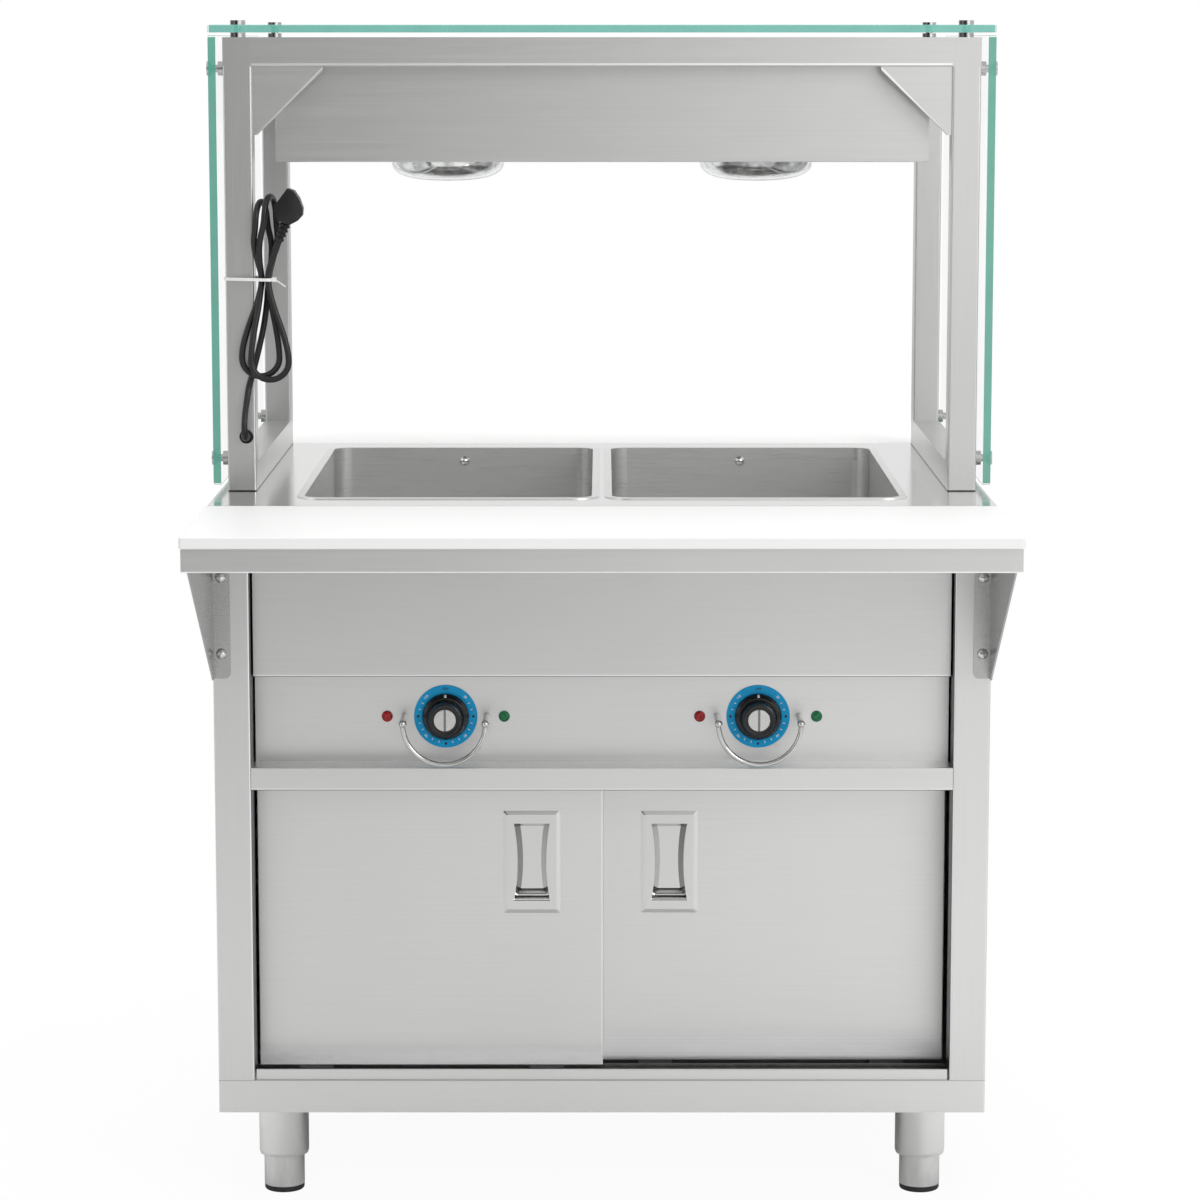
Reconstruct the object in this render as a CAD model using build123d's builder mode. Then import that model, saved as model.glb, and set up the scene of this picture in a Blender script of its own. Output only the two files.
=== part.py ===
from build123d import *
import os
from math import cos, dist, pi, radians, sin, sqrt, tan

os.makedirs("parts", exist_ok=True)

# Millimetres. The origin is on the floor under the middle of the body, +Z is up,
# and the control side with its sliding doors faces -Y.

# Body
body_width = 807.6
body_depth = 567.0
counter_height = 746.0
sheet = 1.2
post_size = 38.0
post_wall = 1.5
post_corner = 2.0
panel_gap = 1.9
slip = 0.3

# Base, legs and screw feet
base_bottom = 98.0
base_height = 35.0
base_hem = 12.0
sill_height = 10.9
sill_setback = 2.5
leg_inset_x = 63.8
leg_inset_y = 55.0
sleeve_radius = 26.5
sleeve_wall = 1.5
sleeve_bottom = 40.0
sleeve_taper = 3.5
leg_plate = 90.0
leg_plate_thick = 3.0
foot_radius = 21.5
foot_top = 58.0
foot_nut = 15.0
foot_pad_radius = 21.2
foot_pad_height = 6.3
foot_pad_round = 2.5
stem_radius = 8.0
stem_top = 112.0
stem_clearance = 0.05

# Fronts between the posts
rail_drop = 302.5
rail_height = 23.9
rail_return = 20.0
upper_setback = 22.0
upper_lift = 116.5
control_setback = 40.0
control_lap = 3.0
control_return = 18.0

# Sliding doors, their track and guides
door_side_gap = 1.9
door_thick = 18.0
door_setback = 43.0
door_spacing = 21.0
door_foot_gap = 5.3
door_top_gap = 2.5
door_edge_left = 1.0
door_edge_right = -3.5
door_hem = 10.0
guide_strip = 14.0
guide_ridge = 2.0
guide_height = 3.0
guide_base = 1.0
track_end_gap = 13.8
track_wall = 1.5
track_slot = 7.0
track_drop = 20.0
glide_length = 36.0
glide_inset = 60.0
glide_head = 8.0

# Flush pulls
pull_width = 60.0
pull_height = 110.0
pull_proud = 1.5
pull_edge = 0.3
pull_bevel = 4.0
pull_centre_left = -74.0
pull_centre_right = 71.5
pull_drop_left = 82.5
pull_drop_right = 86.8
cup_width = 38.0
cup_height = 83.0
cup_waist = 30.5
cup_depth = 14.0
cup_wall = 1.0
cup_taper = 20.0

# Counter, shelves and boards
counter_overhang = 31.0
board_thick = 11.4
board_depth = 258.0
board_proud = 5.7
board_side = 1.3
board_gap = 0.3
board_edge = 3.0
apron_height = 23.6
bracket_sheet = 1.8
bracket_flange = 18.6
bracket_reach = 272.0
bracket_height = 171.4
bracket_tip = 19.0
bolt_lift = 26.0
bolt_pitch = 80.0
bolt_head_radius = 5.7
bolt_head_height = 3.6
bolt_shank_radius = 3.0
bolt_shank_length = 12.0

# Wells
well_width = 300.0
well_end_room = 33.5
well_depth = 165.0
well_middle_gap = 21.0
well_corner = 19.0
well_floor_round = 11.0
well_wall = 1.0
well_flange = 8.0
well_flange_thick = 1.2
well_cut_clearance = 1.0
well_screw_drop = 14.4
element_radius = 4.0
element_bend = 34.0
element_runs = 4
element_pitch = 70.0
element_inset = 60.0
element_tail_inset = 4.0
element_gap = 0.3
shield_side_gap = 18.0
shield_end_gap = 28.0
shield_height = 20.0

# Controls
control_x = 164.0
control_lift = 47.8
dial_radius = 33.3
dial_thick = 1.0
knob_radius = 24.5
knob_body_radius = 18.0
knob_depth = 25.0
knob_skirt = 11.0
knob_gap = 0.5
knob_cap_radius = 11.5
knob_cap_thick = 2.5
knob_cap_proud = 1.0
cap_slot = 2.4
shaft_radius = 3.0
shaft_clearance = 0.05
thermostat_size = 36.0
thermostat_depth = 28.0
thermostat_plate = 50.0
thermostat_nose = 4.9
panel_bore = 5.0
lamp_offset = 61.4
lamp_radius = 5.9
lamp_body_radius = 4.8
lamp_proud = 3.2
lamp_body_length = 26.0
guard_radius = 43.0
guard_rod = 2.6
guard_leg = 3.5
guard_ball = 4.1
guard_reach = 48.0

# Sneeze guard
tube_size = 30.0
tube_wall = 1.5
tube_corner = 2.0
guard_inset = 8.8
guard_front = 100.0
guard_rear_inset = 3.0
guard_height = 475.0
gusset_width = 74.0
gusset_height = 71.0
gusset_thick = 2.0
gusset_setback = 3.0
gusset_nose = 5.0
gusset_edge = 1.0
glass = 8.0
roof_gap = 4.8
roof_side_overhang = 13.8
roof_overhang = 20.0
side_glass_gap = 6.0
side_glass_lift = 8.0
side_glass_rise = 2.0
side_glass_overhang = 13.0
fixing_radius = 8.0
fixing_head = 4.7
standoff_radius = 7.5
standoff_cap = 3.7
standoff_drop = 34.4
standoff_rise = 26.0
fixing_shank = 4.0
fixing_clearance = 0.1

# Lamp housing and heat lamps
housing_side_gap = 21.5
housing_height = 130.0
lamp_x = 170.5
bulb_radius = 62.5
bulb_drop = 27.0
bulb_length = 136.0
bulb_clearance = 3.0
socket_radius = 21.0
socket_length = 40.0
bulb_cap_radius = 13.25
bulb_cap_clearance = 0.2

# Cord, its grommet, tie and plug. A place on the cord is its distance in from the guard's left side,
# its distance behind the front of the body, and its height.
cord_radius = 3.25
grommet_inset = 20.0
grommet_lift = 58.0
grommet_radius = 7.4
grommet_proud = 2.5
grommet_neck = 5.9
hank_start = (26.5, 95.8, 866.0)
hank_start_run = (0.31, 0.0, 0.95)
hank_entry = (42.0, 97.8, 930.0)
hank_entry_run = (0.13, 0.06, 1.0)
hank_turns = 2
hank_pitch = 7.2
waist_in = 42.2
waist_behind = 96.5
waist_z = 970.0
waist_half = 3.65
loop_behind = 85.0
loop_radius = 20.0
loop_low = (888.9, 885.7)
loop_fan = (-5.2, 5.2)
fold_in = 42.8
fold_behind = 104.0
fold_radius = 19.5
fold_high = (1031.0, 1036.5)
fold_twist = 78.0
fold_pitch = 9.6
hank_exit = (48.4, 85.3, 985.0)
hank_end_run = (0.35, 0.0, 0.937)
lead_length = 21.0
plug_depth = 24.0
relief_length = 20.0
relief_radius = 6.2
relief_ribs = 4
plug_outline = [(-8, -0.5), (5, -0.5), (11, 6), (14, 13.5), (12, 20.5), (5, 29), (-3, 34.5), (-10, 34.5),
                (-16.8, 11.7)]
plug_round = 2.5
pin_length = 18.0
pin_height = 6.5
pin_thick = 1.6
pin_spread = 6.35
ground_pin_radius = 2.4
ground_pin_drop = -11.5
tie_width = 3.2
tie_thick = 1.1
tie_head = 4.6
tie_tail = 13.0
tie_tail_run = (1.0, 0.0, -0.72)

# Worked out from the sizes above
half_width = body_width / 2
half_depth = body_depth / 2
base_top = base_bottom + base_height
sheet_bottom = counter_height - sheet
shelf_top = counter_height - board_thick
inner_half = half_width - post_size
post_x = half_width - post_size / 2
post_y = half_depth - post_size / 2
rail_bottom = counter_height - rail_drop
rail_top = rail_bottom + rail_height
upper_bottom = rail_bottom + upper_lift
control_top = upper_bottom + control_lap
control_z = rail_top + control_lift
door_reach = inner_half - door_side_gap
door_bottom = base_top + door_foot_gap
door_top = rail_bottom - door_top_gap
track_half_length = half_width - track_end_gap
leg_x = half_width - leg_inset_x
leg_y = half_depth - leg_inset_y
counter_half_width = half_width + sheet
counter_half_depth = half_depth + counter_overhang
shelf_front = half_depth + bracket_reach + 11.6
apron_bottom = shelf_top - apron_height
bracket_top = shelf_top - sheet
bracket_bottom = bracket_top - bracket_height
bolt_low = bracket_bottom + bolt_lift
well_length = body_depth - 2 * well_end_room
well_centre_x = (well_width + well_middle_gap) / 2
well_screw_height = counter_height - well_screw_drop
element_half_length = well_length / 2 - element_inset
element_tail = well_length / 2 - element_tail_inset
shield_width = well_width - 2 * shield_side_gap
shield_length = well_length - 2 * shield_end_gap
guard_half_width = half_width - guard_inset
guard_rear = body_depth + counter_overhang - guard_rear_inset
guard_top = counter_height + guard_height
roof_half_width = guard_half_width + roof_side_overhang
side_glass_bottom = counter_height + side_glass_lift
side_glass_top = guard_top + side_glass_rise
housing_half_width = guard_half_width - tube_size - housing_side_gap
housing_bottom = guard_top - housing_height
bulb_bottom = housing_bottom - bulb_drop
grommet_x = grommet_inset - guard_half_width
grommet_z = counter_height + grommet_lift
tube_x = guard_half_width - tube_size / 2
standoff_heights = (side_glass_bottom + standoff_rise, side_glass_top - standoff_drop)


def behind(distance):
    # A Y place, given as a distance behind the front of the body.
    return distance - half_depth


def place(point):
    # A place on the cord.
    return Vector(point[0] - guard_half_width, behind(point[1]), point[2])


def slab(low, high, mode=Mode.ADD):
    # A box between two corners, added to or cut from the part in hand.
    size = [b - a for a, b in zip(low, high)]
    with Locations(tuple((a + b) / 2 for a, b in zip(low, high))):
        Box(*size, mode=mode)


def rod(start, radius, length, direction=(0, 0, 1), mode=Mode.ADD):
    # A round bar, or a round hole, from its start along a direction.
    with Locations(Plane(origin=start, z_dir=direction)):
        Cylinder(radius, length, align=(Align.CENTER, Align.CENTER, Align.MIN), mode=mode)


def save(part, name):
    part.label = name
    export_step(part, f"parts/{name}.step")


sides = (-1, 1)
corners = [(sx, sy) for sx in sides for sy in sides]

# Corner posts, folded square tubes that stand on the base
with BuildPart() as cabinet_posts:
    with BuildSketch(Plane.XY.offset(base_top)):
        with GridLocations(2 * post_x, 2 * post_y, 2, 2):
            RectangleRounded(post_size, post_size, post_corner)
            Rectangle(post_size - 2 * post_wall, post_size - 2 * post_wall, mode=Mode.SUBTRACT)
    extrude(amount=sheet_bottom - base_top)
    for sx, sy in corners:
        for height in (bolt_low, bolt_low + bolt_pitch):
            bolt_x = half_width - bracket_flange / 2
            rod((sx * bolt_x, sy * (half_depth + 1), height), bolt_shank_radius + fixing_clearance,
                2 * post_wall, (0, -sy, 0), Mode.SUBTRACT)
save(cabinet_posts.part, "cabinet_posts")

# Bottom shelf, a tray with its edges turned down and hemmed, and a sill in front of the doors
with BuildPart() as base_tray:
    with BuildSketch(Plane.XY.offset(base_bottom)):
        RectangleRounded(body_width, body_depth, post_corner)
    extrude(amount=base_height)
    slab((sheet - half_width, sheet - half_depth, base_bottom + sheet),
         (half_width - sheet, half_depth - sheet, base_top - sheet), Mode.SUBTRACT)
    hem = sheet + base_hem
    slab((hem - half_width, hem - half_depth, base_bottom - 1),
         (half_width - hem, half_depth - hem, base_bottom + 2 * sheet), Mode.SUBTRACT)
    sill_half = inner_half - panel_gap
    slab((-sill_half, behind(sill_setback), base_top - sheet),
         (sill_half, behind(sill_setback + sheet), base_top + sill_height))
save(base_tray.part, "base_tray")

# Leg sleeves: a plate under the tray, a tube, and the nut that the foot screws into
with BuildPart() as leg_sleeves:
    leg_top = base_top - sheet
    plate_bottom = leg_top - leg_plate_thick
    with BuildSketch(Plane.XY.offset(plate_bottom)):
        with GridLocations(2 * leg_x, 2 * leg_y, 2, 2):
            RectangleRounded(leg_plate, leg_plate, 6)
    extrude(amount=leg_plate_thick)
    with BuildSketch(Plane.XY.offset(sleeve_bottom + sleeve_taper)):
        with GridLocations(2 * leg_x, 2 * leg_y, 2, 2):
            Circle(sleeve_radius)
    extrude(amount=plate_bottom - sleeve_bottom - sleeve_taper)
    for sx, sy in corners:
        with Locations((sx * leg_x, sy * leg_y, sleeve_bottom + sleeve_taper / 2)):
            Cone(sleeve_radius - 1, sleeve_radius, sleeve_taper)
    for sx, sy in corners:
        centre = (sx * leg_x, sy * leg_y)
        bore = sleeve_radius - sleeve_wall
        rod((*centre, sleeve_bottom), bore, foot_top + slip - sleeve_bottom, mode=Mode.SUBTRACT)
        nut_top = foot_top + slip + foot_nut
        rod((*centre, nut_top), bore, plate_bottom - nut_top, mode=Mode.SUBTRACT)
        rod((*centre, foot_top), stem_radius + stem_clearance, foot_nut + 2, mode=Mode.SUBTRACT)
save(leg_sleeves.part, "leg_sleeves")

# Screw feet, each with its stem, body and pad
foot_names = {(-1, -1): "foot_front_left", (1, -1): "foot_front_right",
              (-1, 1): "foot_rear_left", (1, 1): "foot_rear_right"}
for (sx, sy), foot_name in foot_names.items():
    with BuildPart() as foot:
        centre = (sx * leg_x, sy * leg_y)
        rod((*centre, 0), foot_pad_radius, foot_pad_height)
        fillet(foot.faces().sort_by(Axis.Z)[0].edges(), radius=foot_pad_round)
        rod((*centre, foot_pad_height), foot_radius, foot_top - foot_pad_height)
        rod((*centre, foot_top), stem_radius, stem_top - foot_top)
        chamfer(foot.faces().sort_by(Axis.Z)[-1].edges(), length=1)
    save(foot.part, foot_name)

# Side and back panels
for sx, panel_name in ((-1, "side_panel_left"), (1, "side_panel_right")):
    with BuildPart() as side_panel:
        outer = sx * half_width
        inner = sx * (half_width - sheet)
        flange = sx * (half_width - sheet - base_hem)
        end_y = half_depth - post_size
        slab((min(outer, inner), -end_y, base_top), (max(outer, inner), end_y, sheet_bottom))
        for low, high in ((-end_y, sheet - end_y), (end_y - sheet, end_y)):
            slab((min(inner, flange), low, base_top), (max(inner, flange), high, sheet_bottom))
    save(side_panel.part, panel_name)

with BuildPart() as back_panel:
    slab((-inner_half, half_depth - sheet, base_top), (inner_half, half_depth, sheet_bottom))
save(back_panel.part, "back_panel")

# Shelf under the electrical space, whose folded front edge is the rail above the doors
with BuildPart() as divider_shelf:
    body_side = half_width - sheet
    end_y = half_depth - post_size
    slab((-inner_half, -half_depth, rail_top - sheet), (inner_half, half_depth - sheet, rail_top))
    notch = body_side - base_hem
    slab((-notch, -end_y, rail_top - sheet), (notch, end_y, rail_top))
    slab((-inner_half, -half_depth, rail_bottom), (inner_half, sheet - half_depth, rail_top))
    slab((-inner_half, -half_depth, rail_bottom),
         (inner_half, behind(rail_return), rail_bottom + sheet))
    front = divider_shelf.edges().filter_by(Axis.X).group_by(Axis.Y)[0]
    fillet(front, radius=1.0)
save(divider_shelf.part, "divider_shelf")

# Track above the doors: two channels side by side, open below
door_centres = [door_setback + door_thick / 2, door_setback + door_spacing + door_thick / 2]
channel = door_spacing - track_wall
with BuildPart() as hanger_track:
    track_top = rail_top - sheet
    track_bottom = track_top - track_drop
    track_front = behind(door_centres[0] - door_spacing / 2 - track_wall / 2)
    track_rear = behind(door_centres[1] + door_spacing / 2 + track_wall / 2)
    slab((-track_half_length, track_front, track_bottom), (track_half_length, track_rear, track_top))
    for centre in door_centres:
        y = behind(centre)
        slab((-track_half_length, y - channel / 2, track_bottom + track_wall),
             (track_half_length, y + channel / 2, track_top - track_wall), Mode.SUBTRACT)
        slab((-track_half_length, y - track_slot / 2, track_bottom),
             (track_half_length, y + track_slot / 2, track_bottom + track_wall), Mode.SUBTRACT)
save(hanger_track.part, "hanger_track")

# Guide rails on the bottom shelf, one ridge under each door
with BuildPart() as door_guide_rails:
    for centre in door_centres:
        y = behind(centre)
        slab((-track_half_length, y - guide_strip / 2, base_top),
             (track_half_length, y + guide_strip / 2, base_top + guide_base))
        slab((-track_half_length, y - guide_ridge / 2, base_top + guide_base),
             (track_half_length, y + guide_ridge / 2, base_top + guide_base + guide_height))
save(door_guide_rails.part, "door_guide_rails")


def make_door(name, setback, low_x, high_x, pull_x, pull_drop):
    pull_z = door_top - pull_drop
    front_y = behind(setback)
    back_y = front_y + door_thick
    with BuildPart() as door:
        slab((low_x, front_y, door_bottom), (high_x, back_y, door_top))
        fillet(door.faces().sort_by(Axis.Y)[0].edges(), radius=1.0)
        slab((low_x + sheet, front_y + sheet, door_bottom + sheet),
             (high_x - sheet, back_y - sheet, door_top - sheet), Mode.SUBTRACT)
        edge = sheet + door_hem
        slab((low_x + edge, back_y - 2 * sheet, door_bottom + edge),
             (high_x - edge, back_y + 1, door_top - edge), Mode.SUBTRACT)
        hole_half = cup_width / 2 + cup_wall + 2
        tall_half = cup_height / 2 + cup_wall + 2
        slab((pull_x - hole_half, front_y - 1, pull_z - tall_half),
             (pull_x + hole_half, front_y + 2 * sheet, pull_z + tall_half), Mode.SUBTRACT)
    save(door.part, f"door_{name}")
    plate_plane = Plane(origin=(pull_x, front_y, pull_z), x_dir=(1, 0, 0), z_dir=(0, -1, 0))
    cup_plane = Plane(origin=plate_plane.origin, x_dir=(1, 0, 0), z_dir=(0, 1, 0))
    with BuildPart() as pull:
        with BuildSketch(plate_plane):
            RectangleRounded(pull_width, pull_height, 1.5)
        extrude(amount=pull_edge)
        with BuildSketch(plate_plane.offset(pull_edge)):
            RectangleRounded(pull_width, pull_height, 1.5)
        with BuildSketch(plate_plane.offset(pull_proud)):
            RectangleRounded(pull_width - 2 * pull_bevel, pull_height - 2 * pull_bevel, 1.0)
        loft()
        for start, wall, mode in ((0, cup_wall, Mode.ADD), (-pull_proud, 0, Mode.SUBTRACT)):
            half, tall, waist = cup_width / 2 + wall, cup_height / 2 + wall, cup_waist / 2 + wall
            with BuildSketch(cup_plane.offset(start)):
                with BuildLine():
                    Line((-half, tall), (half, tall))
                    ThreePointArc((half, tall), (waist, 0), (half, -tall))
                    Line((half, -tall), (-half, -tall))
                    ThreePointArc((-half, -tall), (-waist, 0), (-half, tall))
                make_face()
            extrude(amount=cup_depth + wall - start, taper=cup_taper, mode=mode)
    save(pull.part, f"pull_{name}")
    y = behind(setback + door_thick / 2)
    with BuildPart() as glides:
        lip_top = rail_top - sheet - track_drop + track_wall
        shoe_half = door_thick / 2 - 1
        for x in (low_x + glide_inset, high_x - glide_inset):
            run = glide_length / 2
            slab((x - run, y - shoe_half, door_top), (x + run, y + shoe_half, door_top + 2))
            slab((x - run, y - track_slot / 2 + 0.5, door_top),
                 (x + run, y + track_slot / 2 - 0.5, lip_top + slip + 1))
            slab((x - run, y - channel / 2 + 0.75, lip_top + slip),
                 (x + run, y + channel / 2 - 0.75, lip_top + slip + glide_head))
            shoe_low = base_top + guide_base + 0.5
            slab((x - run, y - shoe_half, shoe_low), (x + run, y + shoe_half, door_bottom))
            ridge_top = base_top + guide_base + guide_height
            groove_half = guide_ridge / 2 + 0.4
            slab((x - run, y - groove_half, shoe_low), (x + run, y + groove_half, ridge_top + 0.5),
                 Mode.SUBTRACT)
    save(glides.part, f"glides_{name}")


make_door("left", door_setback, -door_reach, door_edge_left, pull_centre_left, pull_drop_left)
make_door("right", door_setback + door_spacing, door_edge_right, door_reach, pull_centre_right,
          pull_drop_right)

# Upper front panel, set back between the posts
with BuildPart() as upper_panel:
    half = inner_half - panel_gap
    front_y = behind(upper_setback)
    back_y = behind(control_setback)
    slab((-half, front_y, upper_bottom), (half, back_y, sheet_bottom))
    fillet(upper_panel.edges().filter_by(Axis.X).group_by(Axis.Y)[0].sort_by(Axis.Z)[0], radius=1.0)
    slab((sheet - half, front_y + sheet, upper_bottom + sheet),
         (half - sheet, back_y + 1, sheet_bottom + 1), Mode.SUBTRACT)
save(upper_panel.part, "upper_panel")

# Control panel, set back behind the posts and standing on the divider shelf
control_half = inner_half - panel_gap
control_y = behind(control_setback)
with BuildPart() as control_panel:
    slab((-control_half, control_y, rail_top), (control_half, control_y + sheet, control_top))
    for low in (rail_top, control_top - sheet):
        slab((-control_half, control_y, low), (control_half, control_y + control_return, low + sheet))
    for sx in sides:
        x = sx * control_x
        holes = [(x, panel_bore, 0)]
        holes += [(x + s * guard_radius, guard_leg + fixing_clearance, 0) for s in sides]
        holes += [(x + s * lamp_offset, lamp_body_radius + fixing_clearance, 0) for s in sides]
        for hole_x, radius, lift in holes:
            rod((hole_x, control_y - 1, control_z + lift), radius, 3 * sheet, (0, 1, 0), Mode.SUBTRACT)
save(control_panel.part, "control_panel")

panel_back = control_y + sheet

# Thermostats behind the panel, with a nose through it that carries the shaft
with BuildPart() as thermostats:
    for sx in sides:
        x = sx * control_x
        half = thermostat_size / 2
        slab((x - thermostat_plate / 2, panel_back, control_z - half / 2),
             (x + thermostat_plate / 2, panel_back + 1.5, control_z + half / 2))
        slab((x - half, panel_back + 1.5, control_z - half),
             (x + half, panel_back + 1.5 + thermostat_depth, control_z + half))
        rod((x, panel_back, control_z), thermostat_nose, sheet + dial_thick, (0, -1, 0))
        for lift in (-10, 10):
            slab((x - 3, panel_back + thermostat_depth, control_z + lift - 0.4),
                 (x + 3, panel_back + thermostat_depth + 10, control_z + lift + 0.4))
    for sx in sides:
        rod((sx * control_x, control_y - 5, control_z), shaft_radius + shaft_clearance, 27,
            (0, 1, 0), Mode.SUBTRACT)
save(thermostats.part, "thermostats")

# Dial plates round the knobs
with BuildPart() as dial_rings:
    for sx in sides:
        x = sx * control_x
        rod((x, control_y, control_z), dial_radius, dial_thick, (0, -1, 0))
        rod((x, control_y + 1, control_z), panel_bore, dial_thick + 2, (0, -1, 0), Mode.SUBTRACT)
save(dial_rings.part, "dial_rings")

# Knobs, their caps and shafts
knob_back = control_y - dial_thick - knob_gap
knob_front = knob_back - knob_depth
for sx, side_name in ((-1, "left"), (1, "right")):
    x = sx * control_x
    axis_plane = Plane(origin=(x, 0, control_z), x_dir=(1, 0, 0), z_dir=(0, 0, 1))
    with BuildPart() as knob:
        with BuildSketch(axis_plane):
            with BuildLine():
                Polyline((0, knob_back), (knob_radius, knob_back), (knob_radius, knob_back - 4),
                         (knob_radius - 3.2, knob_back - knob_skirt),
                         (knob_body_radius, knob_back - knob_skirt),
                         (knob_body_radius - 1.2, knob_front), (0, knob_front), close=True)
            make_face()
        revolve(axis=Axis((x, 0, control_z), (0, 1, 0)))
        rims = knob.edges().filter_by(GeomType.CIRCLE).group_by(Axis.Y)
        fillet(rims[0], radius=1.2)
        cap_floor = knob_front + knob_cap_thick - knob_cap_proud
        rod((x, knob_front - 1, control_z), knob_cap_radius + fixing_clearance,
            cap_floor + 1 - knob_front, (0, 1, 0), Mode.SUBTRACT)
        rod((x, knob_back + 1, control_z), shaft_radius + shaft_clearance, 15, (0, -1, 0), Mode.SUBTRACT)
    save(knob.part, f"knob_{side_name}")
    with BuildPart() as cap:
        rod((x, cap_floor, control_z), knob_cap_radius, knob_cap_thick, (0, -1, 0))
        fillet(cap.faces().sort_by(Axis.Y)[0].edges(), radius=0.5)
        front_y = knob_front - knob_cap_proud
        slab((x - cap_slot / 2, front_y - 1, control_z - knob_cap_radius),
             (x + cap_slot / 2, front_y + 0.8, control_z + knob_cap_radius), Mode.SUBTRACT)
    save(cap.part, f"knob_cap_{side_name}")
    with BuildPart() as shaft:
        rod((x, knob_back - 13.8, control_z), shaft_radius, 34, (0, 1, 0))
    save(shaft.part, f"control_shaft_{side_name}")

# Bent rods that keep trays off the knobs
with BuildPart() as knob_guards:
    tip_y = control_y - guard_reach
    for sx in sides:
        x = sx * control_x
        for s in sides:
            leg_x_here = x + s * guard_radius
            rod((leg_x_here, panel_back + 6, control_z), guard_leg, guard_reach + sheet + 6, (0, -1, 0))
            with Locations((leg_x_here, tip_y, control_z)):
                Sphere(guard_ball)
        with BuildSketch(Plane.XY.offset(control_z)):
            with Locations((x + guard_radius, tip_y)):
                Circle(guard_rod)
        revolve(axis=Axis((x, tip_y, control_z), (0, 1, 0)), revolution_arc=180)
save(knob_guards.part, "knob_guards")

# Pilot lamps: red on the left of each dial, green on the right
for s, lamp_name in ((-1, "red_lamps"), (1, "green_lamps")):
    with BuildPart() as pilot:
        for sx in sides:
            x = sx * control_x + s * lamp_offset
            rod((x, control_y, control_z), lamp_radius, lamp_proud, (0, -1, 0))
            rod((x, control_y, control_z), lamp_body_radius, lamp_body_length, (0, 1, 0))
        fillet(pilot.faces().group_by(Axis.Y)[0].edges(), radius=2.4)
    save(pilot.part, lamp_name)

# Counter sheet with two cut-outs and a lip all round
with BuildPart() as countertop:
    with BuildSketch(Plane.XY.offset(shelf_top)):
        RectangleRounded(2 * counter_half_width, 2 * counter_half_depth, post_corner)
    extrude(amount=board_thick)
    fillet(countertop.faces().sort_by(Axis.Z)[-1].edges(), radius=1.0)
    slab((-half_width, sheet - counter_half_depth, shelf_top - 1),
         (half_width, counter_half_depth - sheet, sheet_bottom), Mode.SUBTRACT)
    with BuildSketch(Plane.XY.offset(sheet_bottom - 1)):
        with Locations((-well_centre_x, 0), (well_centre_x, 0)):
            grow = 2 * (well_wall + well_cut_clearance)
            RectangleRounded(well_width + grow, well_length + grow, well_corner + grow / 2)
    extrude(amount=sheet + 3, mode=Mode.SUBTRACT)
save(countertop.part, "countertop")

# Wells: drawn pans that hang in the counter on their flanges
well_floor = counter_height - well_depth
for sx, side_name in ((-1, "left"), (1, "right")):
    centre = (sx * well_centre_x, 0)
    with BuildPart() as cavity:
        with BuildSketch(Plane.XY.offset(well_floor)):
            with Locations(centre):
                RectangleRounded(well_width, well_length, well_corner)
        extrude(amount=well_depth + 2 * well_flange_thick)
        fillet(cavity.faces().sort_by(Axis.Z)[0].edges(), radius=well_floor_round)
    with BuildPart() as well:
        with BuildSketch(Plane.XY.offset(well_floor - well_wall)):
            with Locations(centre):
                RectangleRounded(well_width + 2 * well_wall, well_length + 2 * well_wall,
                                 well_corner + well_wall)
        extrude(amount=well_depth + well_wall)
        fillet(well.faces().sort_by(Axis.Z)[0].edges(), radius=well_floor_round + well_wall)
        with BuildSketch(Plane.XY.offset(counter_height)):
            with Locations(centre):
                RectangleRounded(well_width + 2 * well_flange, well_length + 2 * well_flange,
                                 well_corner + well_flange)
        extrude(amount=well_flange_thick)
        fillet(well.faces().sort_by(Axis.Z)[-1].edges(), radius=well_flange_thick * 0.8)
        add(cavity.part, mode=Mode.SUBTRACT)
        rod((centre[0], well_length / 2 - 1, well_screw_height), bolt_shank_radius + fixing_clearance,
            4, (0, 1, 0), Mode.SUBTRACT)
    save(well.part, f"well_{side_name}")


# Dome-headed bolt with its head on the XY plane, used wherever one is seen
with BuildPart() as dome_bolt:
    rod((0, 0, -bolt_shank_length), bolt_shank_radius, bolt_shank_length)
    ball = (bolt_head_radius**2 + bolt_head_height**2) / (2 * bolt_head_height)
    middle = bolt_head_radius * 0.6
    rise = bolt_head_height - ball + sqrt(ball**2 - middle**2)
    with BuildSketch(Plane.XZ):
        with BuildLine():
            Line((0, 0), (bolt_head_radius, 0))
            ThreePointArc((bolt_head_radius, 0), (middle, rise), (0, bolt_head_height))
            Line((0, bolt_head_height), (0, 0))
        make_face()
    revolve(axis=Axis.Z)

with BuildPart() as well_screws:
    for sx in sides:
        spot = (sx * well_centre_x, well_length / 2, well_screw_height)
        with Locations(Plane(origin=spot, z_dir=(0, -1, 0))):
            add(dome_bolt.part)
save(well_screws.part, "well_screws")

# Heating elements under the wells, with a shield below each
shield_top = well_floor - well_wall
with BuildPart() as heating_elements:
    element_z = shield_top - element_gap - element_radius
    for sx in sides:
        centre_x = sx * well_centre_x
        columns = [centre_x + (i - (element_runs - 1) / 2) * element_pitch for i in range(element_runs)]
        route = [(columns[0], -element_tail, element_z)]
        for i, x in enumerate(columns):
            end = element_half_length if i % 2 == 0 else -element_half_length
            route += [(x, end, element_z)]
            if i < element_runs - 1:
                route += [(columns[i + 1], end, element_z)]
        route[-1] = (columns[-1], -element_tail, element_z)
        with BuildLine():
            run = FilletPolyline(*route, radius=element_bend)
        with BuildSketch(Plane(origin=run @ 0, z_dir=run % 0)):
            Circle(element_radius)
        sweep(path=run)
save(heating_elements.part, "heating_elements")

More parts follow.
